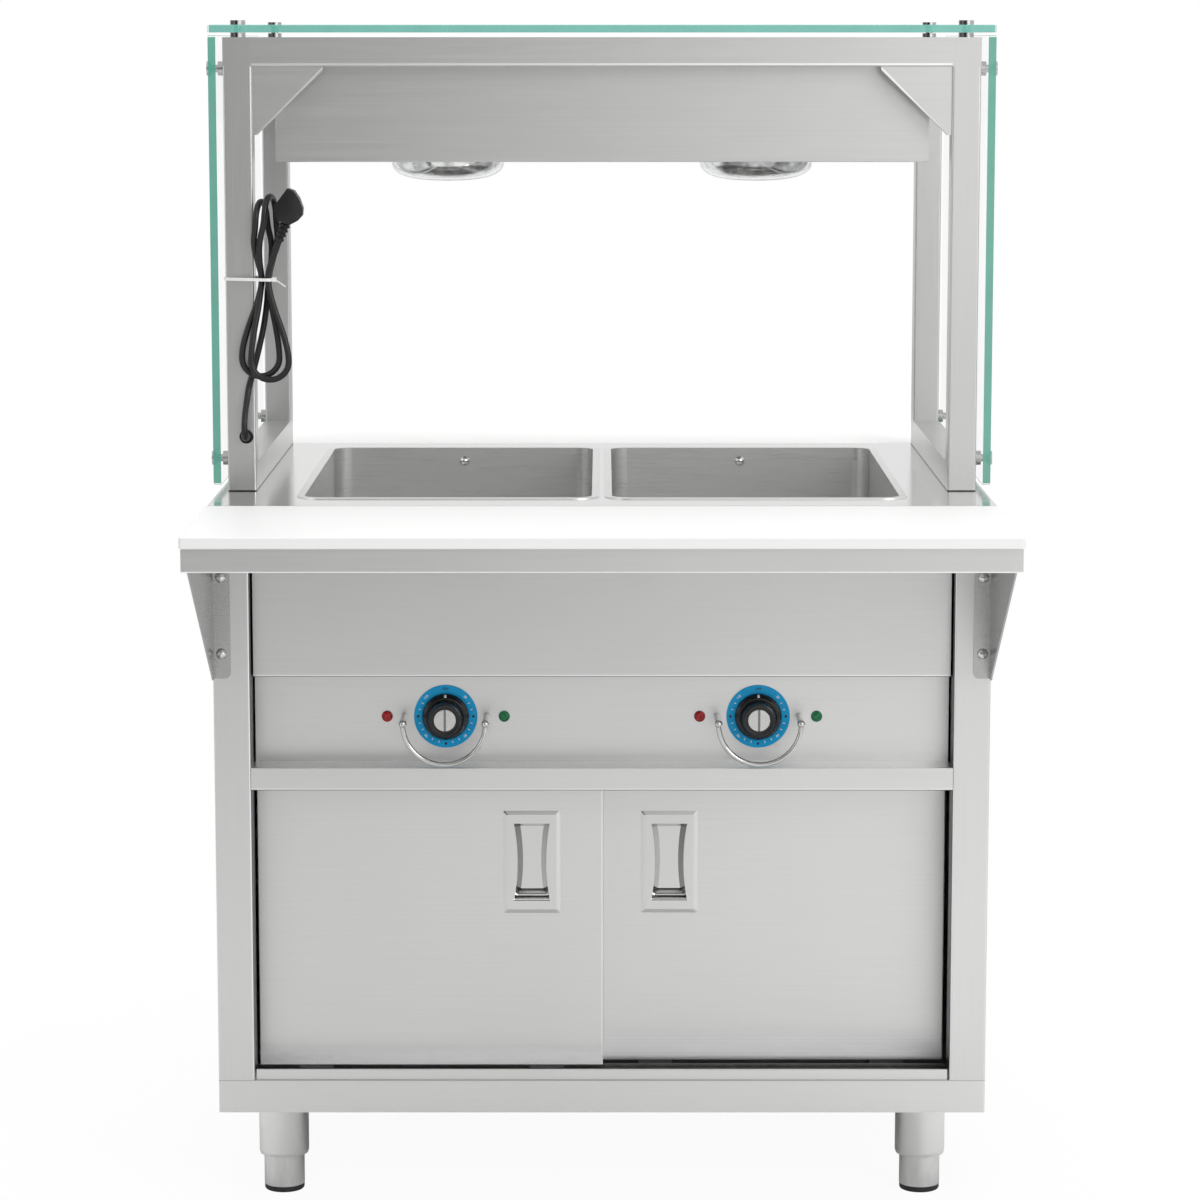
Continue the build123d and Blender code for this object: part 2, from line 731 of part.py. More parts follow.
with BuildPart() as heat_shields:
    for sx in sides:
        x = sx * well_centre_x
        half_x = shield_width / 2
        half_y = shield_length / 2
        slab((x - half_x, -half_y, shield_top - shield_height), (x + half_x, half_y, shield_top))
        slab((x - half_x + sheet, sheet - half_y, shield_top - shield_height + sheet),
             (x + half_x - sheet, half_y - sheet, shield_top), Mode.SUBTRACT)
        for column in (-(element_runs - 1) / 2, (element_runs - 1) / 2):
            rod((x + column * element_pitch, -half_y - 1, element_z), element_radius + 0.2,
                sheet + 2, (0, 1, 0), Mode.SUBTRACT)
save(heat_shields.part, "heat_shields")

# Serving shelves front and rear: a steel tray on two brackets, and a white board on the tray
for sy, side_name in ((-1, "front"), (1, "rear")):
    with BuildPart() as shelf:
        near = sy * half_depth
        far = sy * shelf_front
        low_y, high_y = min(near, far), max(near, far)
        slab((-counter_half_width, low_y, apron_bottom), (counter_half_width, high_y, shelf_top))
        outer_edge = shelf.edges().filter_by(Axis.X).filter_by_position(Axis.Y, far - 0.1, far + 0.1)
        fillet(outer_edge, radius=1.0)
        near_cut = near - sy
        cut_y = sorted((near_cut, far - sy * sheet))
        slab((-half_width, cut_y[0], apron_bottom - 1), (half_width, cut_y[1], shelf_top - sheet),
             Mode.SUBTRACT)
    save(shelf.part, f"{side_name}_shelf")
    with BuildPart() as board:
        near = sy * (counter_half_depth + board_gap)
        far = sy * (shelf_front + board_proud)
        half = counter_half_width + board_side
        slab((-half, min(near, far), shelf_top), (half, max(near, far), counter_height))
        fillet(board.edges().filter_by(Axis.Z), radius=board_edge)
        fillet(board.faces().sort_by(Axis.Z)[-1].edges(), radius=1.5)
        fillet(board.faces().sort_by(Axis.Z)[0].edges(), radius=1.5)
    save(board.part, f"{side_name}_board")

# Brackets: a plate flush with the outside of the posts, folded inwards on the post and under the shelf
with BuildPart() as shelf_brackets:
    for sx, sy in corners:
        outer = sx * half_width
        with BuildSketch(Plane(origin=(outer, 0, 0), x_dir=(0, 1, 0), z_dir=(1, 0, 0))):
            with BuildLine():
                Polyline((sy * half_depth, bracket_top), (sy * (half_depth + bracket_reach), bracket_top),
                         (sy * (half_depth + bracket_reach), bracket_top - 8),
                         (sy * (half_depth + bracket_tip), bracket_bottom + 5),
                         (sy * (half_depth + bracket_tip - 6), bracket_bottom),
                         (sy * half_depth, bracket_bottom), close=True)
            make_face()
        extrude(amount=-sx * bracket_sheet)
        inner = sx * (half_width - bracket_flange)
        flange_y = sorted((sy * half_depth, sy * (half_depth + bracket_sheet)))
        slab((min(outer, inner), flange_y[0], bracket_bottom),
             (max(outer, inner), flange_y[1], bracket_top))
        top_y = sorted((sy * half_depth, sy * (half_depth + bracket_reach)))
        slab((min(outer, inner), top_y[0], bracket_top - bracket_sheet),
             (max(outer, inner), top_y[1], bracket_top))
        for height in (bolt_low, bolt_low + bolt_pitch):
            rod((sx * (half_width - bracket_flange / 2), sy * (half_depth - 1), height),
                bolt_shank_radius + fixing_clearance, bracket_sheet + 2, (0, sy, 0), Mode.SUBTRACT)
    low_corners = shelf_brackets.edges().filter_by(Axis.Y).group_by(Axis.Z)[0]
    reach = half_width - bracket_flange
    fillet(low_corners.filter_by_position(Axis.X, -reach - 0.1, -reach + 0.1), radius=6)
    low_corners = shelf_brackets.edges().filter_by(Axis.Y).group_by(Axis.Z)[0]
    fillet(low_corners.filter_by_position(Axis.X, reach - 0.1, reach + 0.1), radius=6)
save(shelf_brackets.part, "shelf_brackets")

bolt_y = half_depth + bracket_sheet
with BuildPart() as bracket_bolts:
    for sx, sy in corners:
        for height in (bolt_low, bolt_low + bolt_pitch):
            spot = (sx * (half_width - bracket_flange / 2), sy * bolt_y, height)
            with Locations(Plane(origin=spot, z_dir=(0, sy, 0))):
                add(dome_bolt.part)
save(bracket_bolts.part, "bracket_bolts")

# Sneeze guard frame: posts closed at the top, with square heads, rails between them, and corner plates
guard_ends = (behind(guard_front) + tube_size / 2, behind(guard_rear) - tube_size / 2)
guard_middle = sum(guard_ends) / 2
with BuildPart() as guard_posts:
    with BuildSketch(Plane.XY.offset(counter_height)):
        with Locations(*[(sx * tube_x, y) for sx in sides for y in guard_ends]):
            RectangleRounded(tube_size, tube_size, tube_corner)
    extrude(amount=guard_top - counter_height)
    with BuildSketch(Plane.XY.offset(guard_top - tube_size)):
        with Locations(*[(sx * tube_x, y) for sx in sides for y in guard_ends]):
            Rectangle(tube_size, tube_size)
    extrude(amount=tube_size)
    with BuildSketch(Plane.XY.offset(counter_height)):
        with Locations(*[(sx * tube_x, y) for sx in sides for y in guard_ends]):
            Rectangle(tube_size - 2 * tube_wall, tube_size - 2 * tube_wall)
    extrude(amount=guard_top - counter_height - tube_wall, mode=Mode.SUBTRACT)
    for sx in sides:
        for y in guard_ends:
            rod((sx * tube_x, y, guard_top - 5), fixing_shank + fixing_clearance, 8, mode=Mode.SUBTRACT)
            for height in standoff_heights:
                rod((sx * (guard_half_width + 1), y, height), fixing_shank + fixing_clearance,
                    5, (-sx, 0, 0), Mode.SUBTRACT)
    rod((grommet_x, behind(guard_front) - 1, grommet_z), grommet_neck + fixing_clearance, 4,
        (0, 1, 0), Mode.SUBTRACT)
save(guard_posts.part, "guard_posts")


def tube_between(low, high, along):
    # A square tube between two corners, open at both ends of its length.
    slab(low, high)
    cut_low = [v - 1 if i == along else v + tube_wall for i, v in enumerate(low)]
    cut_high = [v + 1 if i == along else v - tube_wall for i, v in enumerate(high)]
    slab(cut_low, cut_high, Mode.SUBTRACT)


rail_x = (guard_half_width - tube_size, guard_half_width)
rail_y = (behind(guard_front) + tube_size, behind(guard_rear) - tube_size)
with BuildPart() as guard_rails:
    for sx in sides:
        xs = sorted((sx * rail_x[0], sx * rail_x[1]))
        for low_z in (counter_height, guard_top - tube_size):
            tube_between((xs[0], rail_y[0], low_z), (xs[1], rail_y[1], low_z + tube_size), 1)
    for y in guard_ends:
        tube_between((-rail_x[0], y - tube_size / 2, guard_top - tube_size),
                     (rail_x[0], y + tube_size / 2, guard_top), 0)
    crossbar_edges = guard_rails.edges().filter_by(Axis.X).group_by(Axis.Y)
    for level in (crossbar_edges[0], crossbar_edges[-1]):
        fillet(level.sort_by(Axis.Z)[0], radius=tube_corner * 0.6)
save(guard_rails.part, "guard_rails")

with BuildPart() as guard_gussets:
    corner_z = guard_top - tube_size
    for sy, y in zip((-1, 1), guard_ends):
        plate_y = y + sy * (tube_size / 2 - gusset_setback)
        for sx in sides:
            corner_x = sx * rail_x[0]
            with BuildSketch(Plane(origin=(0, plate_y, 0), x_dir=(1, 0, 0), z_dir=(0, -1, 0))):
                with BuildLine():
                    Polyline((corner_x, corner_z), (corner_x - sx * gusset_width, corner_z),
                             (corner_x - sx * gusset_width, corner_z - gusset_nose),
                             (corner_x - sx * gusset_nose, corner_z - gusset_height),
                             (corner_x, corner_z - gusset_height), close=True)
                make_face()
            extrude(amount=sy * gusset_thick)
    for level in (0, -1):
        shown = guard_gussets.faces().filter_by(Axis.Y).group_by(Axis.Y)[level].edges()
        slopes = shown.filter_by(Axis.X, reverse=True).filter_by(Axis.Z, reverse=True)
        chamfer(slopes, length=gusset_edge)
save(guard_gussets.part, "guard_gussets")

# Lamp housing hung between the crossbars, its lid, the sockets and the heat lamps
housing_y = rail_y
housing_top = guard_top - sheet
with BuildPart() as lamp_housing:
    slab((-housing_half_width, housing_y[0], housing_bottom),
         (housing_half_width, housing_y[1], housing_top))
    lower_edges = lamp_housing.faces().sort_by(Axis.Z)[0].edges()
    fillet(lower_edges, radius=1.0)
    slab((sheet - housing_half_width, housing_y[0] + sheet, housing_bottom + sheet),
         (housing_half_width - sheet, housing_y[1] - sheet, housing_top + 1), Mode.SUBTRACT)
    for sx in sides:
        rod((sx * lamp_x, guard_middle, housing_bottom - 1), bulb_radius + bulb_clearance, sheet + 2,
            mode=Mode.SUBTRACT)
save(lamp_housing.part, "lamp_housing")

with BuildPart() as housing_lid:
    slab((-housing_half_width, housing_y[0], housing_top), (housing_half_width, housing_y[1], guard_top))
save(housing_lid.part, "housing_lid")

bulb_top = bulb_bottom + bulb_length
with BuildPart() as lamp_sockets:
    for sx in sides:
        socket_bottom = housing_top - socket_length
        rod((sx * lamp_x, guard_middle, socket_bottom), socket_radius, socket_length)
        rod((sx * lamp_x, guard_middle, socket_bottom - 1), bulb_cap_radius + bulb_cap_clearance,
            bulb_top + 1 - socket_bottom + 1 + slip, mode=Mode.SUBTRACT)
    fillet(lamp_sockets.faces().group_by(Axis.Z)[0].edges().filter_by(GeomType.CIRCLE), radius=1.5)
save(lamp_sockets.part, "lamp_sockets")

with BuildPart() as heat_lamps:
    for sx in sides:
        x = sx * lamp_x
        axis_plane = Plane(origin=(x, guard_middle, 0), x_dir=(1, 0, 0), z_dir=(0, -1, 0))
        face_radius = bulb_radius * 0.85
        shoulder_z = bulb_bottom + 17
        neck_z = housing_top - socket_length - 3
        with BuildSketch(axis_plane):
            with BuildLine():
                ThreePointArc((0, bulb_bottom), (bulb_radius * 0.5, bulb_bottom + 2.2),
                              (face_radius, bulb_bottom + 7.5))
                ThreePointArc((face_radius, bulb_bottom + 7.5), (bulb_radius * 0.96, bulb_bottom + 11.5),
                              (bulb_radius, shoulder_z))
                ThreePointArc((bulb_radius, shoulder_z), (bulb_radius * 0.97, shoulder_z + 11),
                              (bulb_radius * 0.88, shoulder_z + 22))
                Polyline((bulb_radius * 0.88, shoulder_z + 22), (bulb_radius * 0.32, neck_z - 10),
                         (bulb_radius * 0.29, neck_z), (bulb_cap_radius, neck_z),
                         (bulb_cap_radius, bulb_top), (0, bulb_top), (0, bulb_bottom))
            make_face()
        revolve(axis=Axis((x, guard_middle, 0), (0, 0, 1)))
save(heat_lamps.part, "heat_lamps")

# Glass: a roof on four bolts and two sides on standoffs
roof_bottom = guard_top + roof_gap
roof_y = (behind(guard_front) - roof_overhang, behind(guard_rear) + roof_overhang)
side_y = (behind(guard_front) - side_glass_overhang, behind(guard_rear) + side_glass_overhang)
side_inner = guard_half_width + side_glass_gap
side_outer = side_inner + glass
fixing_hole = fixing_shank + fixing_clearance
with BuildPart() as roof_glass:
    slab((-roof_half_width, roof_y[0], roof_bottom), (roof_half_width, roof_y[1], roof_bottom + glass))
    fillet(roof_glass.edges().filter_by(Axis.Z), radius=4)
    chamfer(roof_glass.faces().group_by(Axis.Z)[-1].edges(), length=0.8)
    for sx in sides:
        for y in guard_ends:
            rod((sx * tube_x, y, roof_bottom - 1), fixing_hole, glass + 2, mode=Mode.SUBTRACT)
save(roof_glass.part, "roof_glass")

with BuildPart() as side_glass:
    for sx in sides:
        xs = sorted((sx * side_inner, sx * side_outer))
        slab((xs[0], side_y[0], side_glass_bottom), (xs[1], side_y[1], side_glass_top))
    fillet(side_glass.edges().filter_by(Axis.X), radius=4)
    for sx in sides:
        for y in guard_ends:
            for height in standoff_heights:
                rod((sx * (side_inner - 1), y, height), fixing_hole, glass + 2, (sx, 0, 0), Mode.SUBTRACT)
save(side_glass.part, "side_glass")

with BuildPart() as glass_fixings:
    for sx in sides:
        for y in guard_ends:
            x = sx * tube_x
            rod((x, y, guard_top), fixing_radius, roof_gap)
            rod((x, y, guard_top - 1), fixing_hole, roof_gap + 2, mode=Mode.SUBTRACT)
            rod((x, y, guard_top - 4), fixing_shank, roof_gap + glass + 4)
            rod((x, y, roof_bottom + glass), fixing_radius, fixing_head)
            for height in standoff_heights:
                rod((sx * guard_half_width, y, height), standoff_radius, side_glass_gap, (sx, 0, 0))
                rod((sx * (guard_half_width - 1), y, height), fixing_hole, side_glass_gap + 2, (sx, 0, 0),
                    Mode.SUBTRACT)
                rod((sx * (guard_half_width - 3), y, height), fixing_shank, side_glass_gap + glass + 3,
                    (sx, 0, 0))
                rod((sx * side_outer, y, height), standoff_radius, standoff_cap, (sx, 0, 0))
save(glass_fixings.part, "glass_fixings")

# Grommet where the cord leaves the front left guard post
with BuildPart() as grommet:
    post_face = behind(guard_front)
    rod((grommet_x, post_face, grommet_z), grommet_radius, grommet_proud, (0, -1, 0))
    fillet(grommet.faces().sort_by(Axis.Y)[0].edges(), radius=1.2)
    rod((grommet_x, post_face, grommet_z), grommet_neck, 3.5, (0, 1, 0))
save(grommet.part, "grommet")

# Cord from the grommet up to the hank
cord_route = [
    (grommet_inset, guard_front - grommet_proud, grommet_z),
    (20.0, 86.5, 804.0),
    (20.0, 80.6, 807.2),
    (20.0, 77.2, 813.0),
    (20.1, 77.6, 821.0),
    (20.6, 82.4, 831.0),
    (21.8, 89.6, 842.5),
    (23.4, 95.8, 856.5),
    hank_start,
]


def tube_path(points):
    # Straight runs joined by arcs as large as the runs allow, with the radii printed.
    spots = [place(p) for p in points]
    radii = []
    for before, here, after in zip(spots, spots[1:], spots[2:]):
        first, second = here - before, after - here
        turn = radians(first.get_angle(second))
        radii.append(0.45 * min(first.length, second.length) / tan(turn / 2))
    print("cord arc radii", [round(r, 1) for r in radii])
    return FilletPolyline(*spots, radius=radii)


with BuildPart() as cord_exit:
    with BuildLine():
        exit_path = tube_path(cord_route)
    with BuildSketch(Plane(origin=exit_path @ 0, z_dir=exit_path % 0)):
        Circle(cord_radius)
    sweep(path=exit_path)
print("cord_exit length", round(exit_path.length, 1))
save(cord_exit.part, "cord_exit")


def ease(t):
    return t * t * (3 - 2 * t)


def lower_strand(side, turn, t):
    # A strand between its bottom loop (t = 0) and the waist (t = 1); the right one climbs a layer.
    e = ease(t)
    spread = loop_radius + (waist_half - loop_radius) * e
    layer = turn - 0.5 + (e if side > 0 else 0)
    x = waist_in + loop_fan[turn] * (1 - e) + side * spread
    y = loop_behind + (waist_behind - loop_behind) * e - layer * hank_pitch
    return place((x, y, loop_low[turn] + (waist_z - loop_low[turn]) * t))


def upper_strand(side, turn, t):
    # A strand between the waist (t = 0) and its top fold (t = 1), where the hank turns sideways.
    e = ease(t)
    spread = side * (waist_half + (fold_radius - waist_half) * e)
    lift = (turn - 0.5) * (hank_pitch + (fold_pitch - hank_pitch) * e)
    angle = radians(fold_twist * e)
    x = waist_in + (fold_in - waist_in) * e + spread * cos(angle) + lift * sin(angle)
    y = waist_behind + (fold_behind - waist_behind) * e + spread * sin(angle) - lift * cos(angle)
    return place((x, y, waist_z + (fold_high[turn] - waist_z) * t))


def strand_stations(strand, side, turn, times):
    # Points on a strand with the direction of travel at each; its ends are upright.
    way = 1 if times[-1] > times[0] else -1
    stations = []
    for t in times:
        direction = Vector(0, 0, 1)
        if 0 < t < 1:
            direction = (strand(side, turn, t + 0.001) - strand(side, turn, t - 0.001)).normalized()
        stations.append((strand(side, turn, t), direction * way))
    return stations


def biarc(start, start_run, end, end_run):
    # Two arcs that meet in line, from one point and direction to another.
    gap = end - start
    a = 2 * (1 - start_run.dot(end_run))
    b = gap.dot(start_run + end_run)
    c = gap.dot(gap)
    reach = c / (2 * b) if a < 1e-9 else (sqrt(b * b + a * c) - b) / a
    first_corner = start + start_run * reach
    second_corner = end - end_run * reach
    joint = (first_corner + second_corner) * 0.5
    bend(start, start_run, joint)
    bend(joint, (second_corner - first_corner).normalized(), end)


def bend(start, start_run, end):
    # An arc from a point and direction to another point, straight where they are in line.
    if (end - start).normalized().cross(start_run).length < 1e-6:
        Line(start, end)
    else:
        TangentArc(start, end, tangent=start_run)


rising = [0, 0.25, 0.5, 0.75, 1]
falling = rising[::-1]
run_in = Vector(*hank_start_run).normalized()
run_out = Vector(*hank_end_run).normalized()
bend_start = place(hank_start) + run_in * 2 * cord_radius
stations = [(bend_start, run_in), (place(hank_entry), Vector(*hank_entry_run).normalized())]
folds = {}
for turn in range(hank_turns):
    stations += strand_stations(upper_strand, 1, turn, rising)
    folds[len(stations)] = fold_radius
    stations += strand_stations(upper_strand, -1, turn, falling)
    stations += strand_stations(lower_strand, -1, turn, falling)[1:]
    folds[len(stations)] = -loop_radius
    stations += strand_stations(lower_strand, 1, turn, rising[:-1])
layer_out = hank_turns - 0.5
waist_out = place((waist_in + waist_half, waist_behind - layer_out * hank_pitch, waist_z))
stations += [(waist_out, Vector(0, 0, 1)), (place(hank_exit), run_out)]
hank_end = stations[-1][0] + run_out * 2 * cord_radius

with BuildPart() as cord_hank:
    with BuildLine() as hank_line:
        Line(place(hank_start), bend_start)
        for i in range(1, len(stations)):
            (start, start_run), (end, end_run) = stations[i - 1], stations[i]
            if i in folds:
                ThreePointArc(start, (start + end) * 0.5 + Vector(0, 0, folds[i]), end)
            else:
                biarc(start, start_run, end, end_run)
        Line(stations[-1][0], hank_end)
    hank_path = hank_line.wires()[0]
    with BuildSketch(Plane(origin=place(hank_start), z_dir=run_in)):
        Circle(cord_radius)
    sweep(path=hank_path)
save(cord_hank.part, "cord_hank")


def least_gap(path, skip):
    # The least clear space between parts of a tube that are more than skip apart along it.
    count = round(path.length)
    spots = [tuple(path.position_at(i / count)) for i in range(count + 1)]
    pairs = [(i, j) for i in range(count) for j in range(i + skip, count)]
    return min(dist(spots[i], spots[j]) for i, j in pairs) - 2 * cord_radius


section = pi * cord_radius**2
print("hank length", round(hank_path.length, 1), "least gap", round(least_gap(hank_path, 26), 2))
print("hank volume over section by length", round(cord_hank.part.volume / (section * hank_path.length), 4))
print("exit volume over section by length", round(cord_exit.part.volume / (section * exit_path.length), 4))

# Lead from the hank to the plug
lead_end = hank_end + run_out * lead_length
with BuildPart() as plug_lead:
    rod(hank_end, cord_radius, lead_length, run_out)
save(plug_lead.part, "plug_lead")

# Moulded plug with a ribbed strain relief; its pins point to the back
across = Vector(run_out.Z, 0, -run_out.X)
relief_end = lead_end + run_out * relief_length
with BuildPart() as plug:
    plug_front = relief_end + Vector(0, plug_depth / 2, 0)
    with BuildSketch(Plane(origin=plug_front, x_dir=across, z_dir=(0, -1, 0))) as plug_face:
        with BuildLine():
            Polyline(*plug_outline, close=True)
        make_face()
        fillet(plug_face.vertices(), radius=plug_round)
    extrude(amount=plug_depth)
    fillet(plug.faces().sort_by(Axis.Y)[0].edges(), radius=2)
    with BuildSketch(Plane(origin=lead_end, x_dir=across, z_dir=run_out)):
        Circle(relief_radius - 2)
    with BuildSketch(Plane(origin=relief_end + run_out, x_dir=across, z_dir=run_out)):
        Circle(relief_radius - 0.8)
    loft()
    step = relief_length / relief_ribs
    for i in range(relief_ribs):
        rib_radius = relief_radius - 1.4 + 1.4 * i / (relief_ribs - 1)
        rod(lead_end + run_out * (i * step + 0.6), rib_radius, step * 0.5, run_out)
    pin_centre = plug_front + run_out * (plug_outline[5][1] / 2) + across * 1.5
    blade = Plane(origin=pin_centre, x_dir=across, z_dir=(0, 1, 0))
    with BuildSketch(blade):
        with Locations((-pin_spread, 0), (pin_spread, 0)):
            Rectangle(pin_thick, pin_height)
    extrude(amount=pin_length)
    with BuildSketch(blade):
        with Locations((0, ground_pin_drop)):
            Circle(ground_pin_radius)
    extrude(amount=pin_length + 3)
save(plug.part, "plug")
print("cord length", round(exit_path.length + hank_path.length + lead_length + relief_length))

# Tie that holds the waist of the hank to the guard post
waist_x = waist_in - guard_half_width
waist_spots = [(waist_x + side * waist_half, behind(waist_behind - (i - 0.5) * hank_pitch))
               for side in sides for i in range(hank_turns)]
waist_spots.append((waist_out.X, waist_out.Y))
with BuildPart() as cord_tie:
    for grow, mode in ((slip + tie_thick, Mode.ADD), (slip, Mode.SUBTRACT)):
        with BuildSketch(Plane.XY.offset(waist_z - tie_width / 2)):
            with Locations(*waist_spots):
                Circle(cord_radius)
            with Locations((-tube_x, guard_ends[0])):
                Rectangle(tube_size, tube_size)
            make_hull()
            offset(amount=grow)
        extrude(amount=tie_width, mode=mode)
    head_x = waist_out.X + cord_radius + slip + 0.5
    head_low = (head_x, waist_out.Y + 1, waist_z - tie_head / 2)
    slab(head_low, (head_x + tie_head, waist_out.Y + 1 + tie_head, waist_z + tie_head / 2))
    tail_start = Vector(head_x + tie_head - 1, waist_out.Y + 1 + tie_head / 2, waist_z)
    tail_run = Vector(*tie_tail_run).normalized()
    with BuildSketch(Plane(origin=tail_start, x_dir=(0, 1, 0), z_dir=tail_run)):
        Rectangle(tie_width, tie_thick)
    extrude(amount=tie_tail)
save(cord_tie.part, "cord_tie")
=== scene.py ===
from math import cos, pi, radians, sin

import bpy
from mathutils import Matrix, Vector


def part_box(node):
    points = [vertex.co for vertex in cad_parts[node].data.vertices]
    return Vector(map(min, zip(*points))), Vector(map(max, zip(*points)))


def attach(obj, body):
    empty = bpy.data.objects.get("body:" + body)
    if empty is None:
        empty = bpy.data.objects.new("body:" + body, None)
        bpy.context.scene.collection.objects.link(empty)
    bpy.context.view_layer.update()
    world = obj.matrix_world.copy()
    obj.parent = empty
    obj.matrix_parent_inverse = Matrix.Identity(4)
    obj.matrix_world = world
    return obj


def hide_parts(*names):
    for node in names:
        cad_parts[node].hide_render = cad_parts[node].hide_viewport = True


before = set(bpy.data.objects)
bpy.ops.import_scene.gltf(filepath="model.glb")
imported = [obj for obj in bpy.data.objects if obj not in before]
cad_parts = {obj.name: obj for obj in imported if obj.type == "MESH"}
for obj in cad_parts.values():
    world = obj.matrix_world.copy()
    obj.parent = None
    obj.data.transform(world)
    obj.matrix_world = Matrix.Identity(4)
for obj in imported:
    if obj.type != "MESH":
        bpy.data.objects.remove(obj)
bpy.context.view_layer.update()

scene = bpy.context.scene
sides = {"left": -1, "right": 1}
print("frame loaded")


# small helpers used everywhere
def corners(node):
    # a CAD node's lowest and highest corners, to a tenth of a millimetre
    return [Vector([round(v, 4) for v in corner]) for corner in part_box(node)]


def deselectAll():
    if bpy.context.object and bpy.context.object.mode != "OBJECT":
        bpy.ops.object.mode_set(mode="OBJECT")
    bpy.ops.object.select_all(action="DESELECT")


def keepOnly(obj):
    deselectAll()
    obj.select_set(True)
    bpy.context.view_layer.objects.active = obj


def newest(name):
    obj = bpy.context.object
    obj.name = name
    obj.data.name = name
    return obj


def settle(obj):
    # the place goes into the mesh, so the object sits at the origin
    keepOnly(obj)
    bpy.ops.object.transform_apply(location=True, rotation=True, scale=True)


def putAt(obj, spot, turn=(0, 0, 0)):
    obj.rotation_euler = turn
    obj.location = spot
    settle(obj)


def joined(parts, name):
    keepOnly(parts[0])
    for part in parts[1:]:
        part.select_set(True)
    bpy.ops.object.join()
    return newest(name)


def smooth(obj, angle=35):
    keepOnly(obj)
    bpy.ops.object.shade_smooth_by_angle(angle=radians(angle))


def applyAll(obj):
    keepOnly(obj)
    for modifier in list(obj.modifiers):
        bpy.ops.object.modifier_apply(modifier=modifier.name)


def rounded(obj, width, segments, angle=30):
    # the edges sharper than the angle are rounded
    edge = obj.modifiers.new("edge", "BEVEL")
    edge.width = width
    edge.segments = segments
    edge.limit_method = "ANGLE"
    edge.angle_limit = radians(angle)
    applyAll(obj)


def turned(name, profile, steps=64):
    # one vertex drawn along a profile of (radius, height) pairs, then spun round Z
    deselectAll()
    bpy.ops.mesh.primitive_plane_add(size=0.001, location=(0, 0, 0))
    obj = newest(name)
    bpy.ops.object.mode_set(mode="EDIT")
    bpy.ops.mesh.select_all(action="SELECT")
    bpy.ops.mesh.merge(type="CENTER")
    spot = Vector((profile[0][0], 0, profile[0][1]))
    bpy.ops.transform.translate(value=spot)
    for radius, height in profile[1:]:
        following = Vector((radius, 0, height))
        bpy.ops.mesh.extrude_region_move(TRANSFORM_OT_translate={"value": following - spot})
        spot = following
    bpy.ops.mesh.select_all(action="SELECT")
    bpy.ops.mesh.spin(steps=steps, angle=2 * pi, center=(0, 0, 0), axis=(0, 0, 1))
    bpy.ops.mesh.select_all(action="SELECT")
    bpy.ops.mesh.remove_doubles(threshold=0.00001)
    bpy.ops.mesh.normals_make_consistent(inside=False)
    bpy.ops.object.mode_set(mode="OBJECT")
    return obj


def paint(obj, material):
    obj.data.materials.clear()
    obj.data.materials.append(material)


def dress(node, material):
    # a CAD node keeps its shape and gets a finish
    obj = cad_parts[node]
    if not obj.material_slots:
        obj.data.materials.append(material)
    for slot in obj.material_slots:
        slot.material = material


# shader helpers: each adds its nodes to a tree and hands back the socket to use
def feed(tree, socket, value):
    # the value is another node's socket, a colour or a number
    if isinstance(value, bpy.types.NodeSocket):
        tree.links.new(value, socket)
    elif isinstance(value, tuple):
        socket.default_value = (*value, 1)
    else:
        socket.default_value = value


def newMaterial(name, rough=0.5, metal=0.0, colour=(0.5, 0.5, 0.5)):
    material = bpy.data.materials.new(name)
    material.use_nodes = True
    tree = material.node_tree
    shader = tree.nodes["Principled BSDF"]
    feed(tree, shader.inputs["Base Color"], colour)
    feed(tree, shader.inputs["Roughness"], rough)
    feed(tree, shader.inputs["Metallic"], metal)
    return material, tree, shader


def objectParts(tree):
    # X, Y and Z of the object's own coordinates
    place = tree.nodes.new("ShaderNodeTexCoord")
    parts = tree.nodes.new("ShaderNodeSeparateXYZ")
    tree.links.new(place.outputs["Object"], parts.inputs[0])
    return parts.outputs


def calculated(tree, operation, *values):
    node = tree.nodes.new("ShaderNodeMath")
    node.operation = operation
    for socket, value in zip(node.inputs, values):
        feed(tree, socket, value)
    return node.outputs[0]


def largest(tree, values):
    total = values[0]
    for value in values[1:]:
        total = calculated(tree, "MAXIMUM", total, value)
    return total


def ranged(tree, value, low, high, fromLow=0.3, fromHigh=0.7, kind="LINEAR"):
    remap = tree.nodes.new("ShaderNodeMapRange")
    remap.interpolation_type = kind
    for name, amount in (("Value", value), ("From Min", fromLow), ("From Max", fromHigh), ("To Min", low),
                         ("To Max", high)):
        feed(tree, remap.inputs[name], amount)
    return remap.outputs["Result"]


def mixed(tree, factor, first, second, kind="FLOAT"):
    mix = tree.nodes.new("ShaderNodeMix")
    mix.data_type = kind
    for name, amount in (("Factor", factor), ("A", first), ("B", second)):
        feed(tree, mix.inputs[name], amount)
    return mix.outputs["Result"]


def mixedColour(tree, factor, first, second):
    return mixed(tree, factor, first, second, "RGBA")


def objectNoise(tree, stretch, detail=2.0):
    place = tree.nodes.new("ShaderNodeTexCoord")
    mapping = tree.nodes.new("ShaderNodeMapping")
    mapping.inputs["Scale"].default_value = stretch
    noise = tree.nodes.new("ShaderNodeTexNoise")
    noise.inputs["Scale"].default_value = 1.0
    noise.inputs["Detail"].default_value = detail
    tree.links.new(place.outputs["Object"], mapping.inputs["Vector"])
    tree.links.new(mapping.outputs["Vector"], noise.inputs["Vector"])
    return noise.outputs["Fac"]


def bumped(tree, shader, height, strength, distance):
    bump = tree.nodes.new("ShaderNodeBump")
    feed(tree, bump.inputs["Strength"], strength)
    feed(tree, bump.inputs["Distance"], distance)
    feed(tree, bump.inputs["Height"], height)
    tree.links.new(bump.outputs["Normal"], shader.inputs["Normal"])


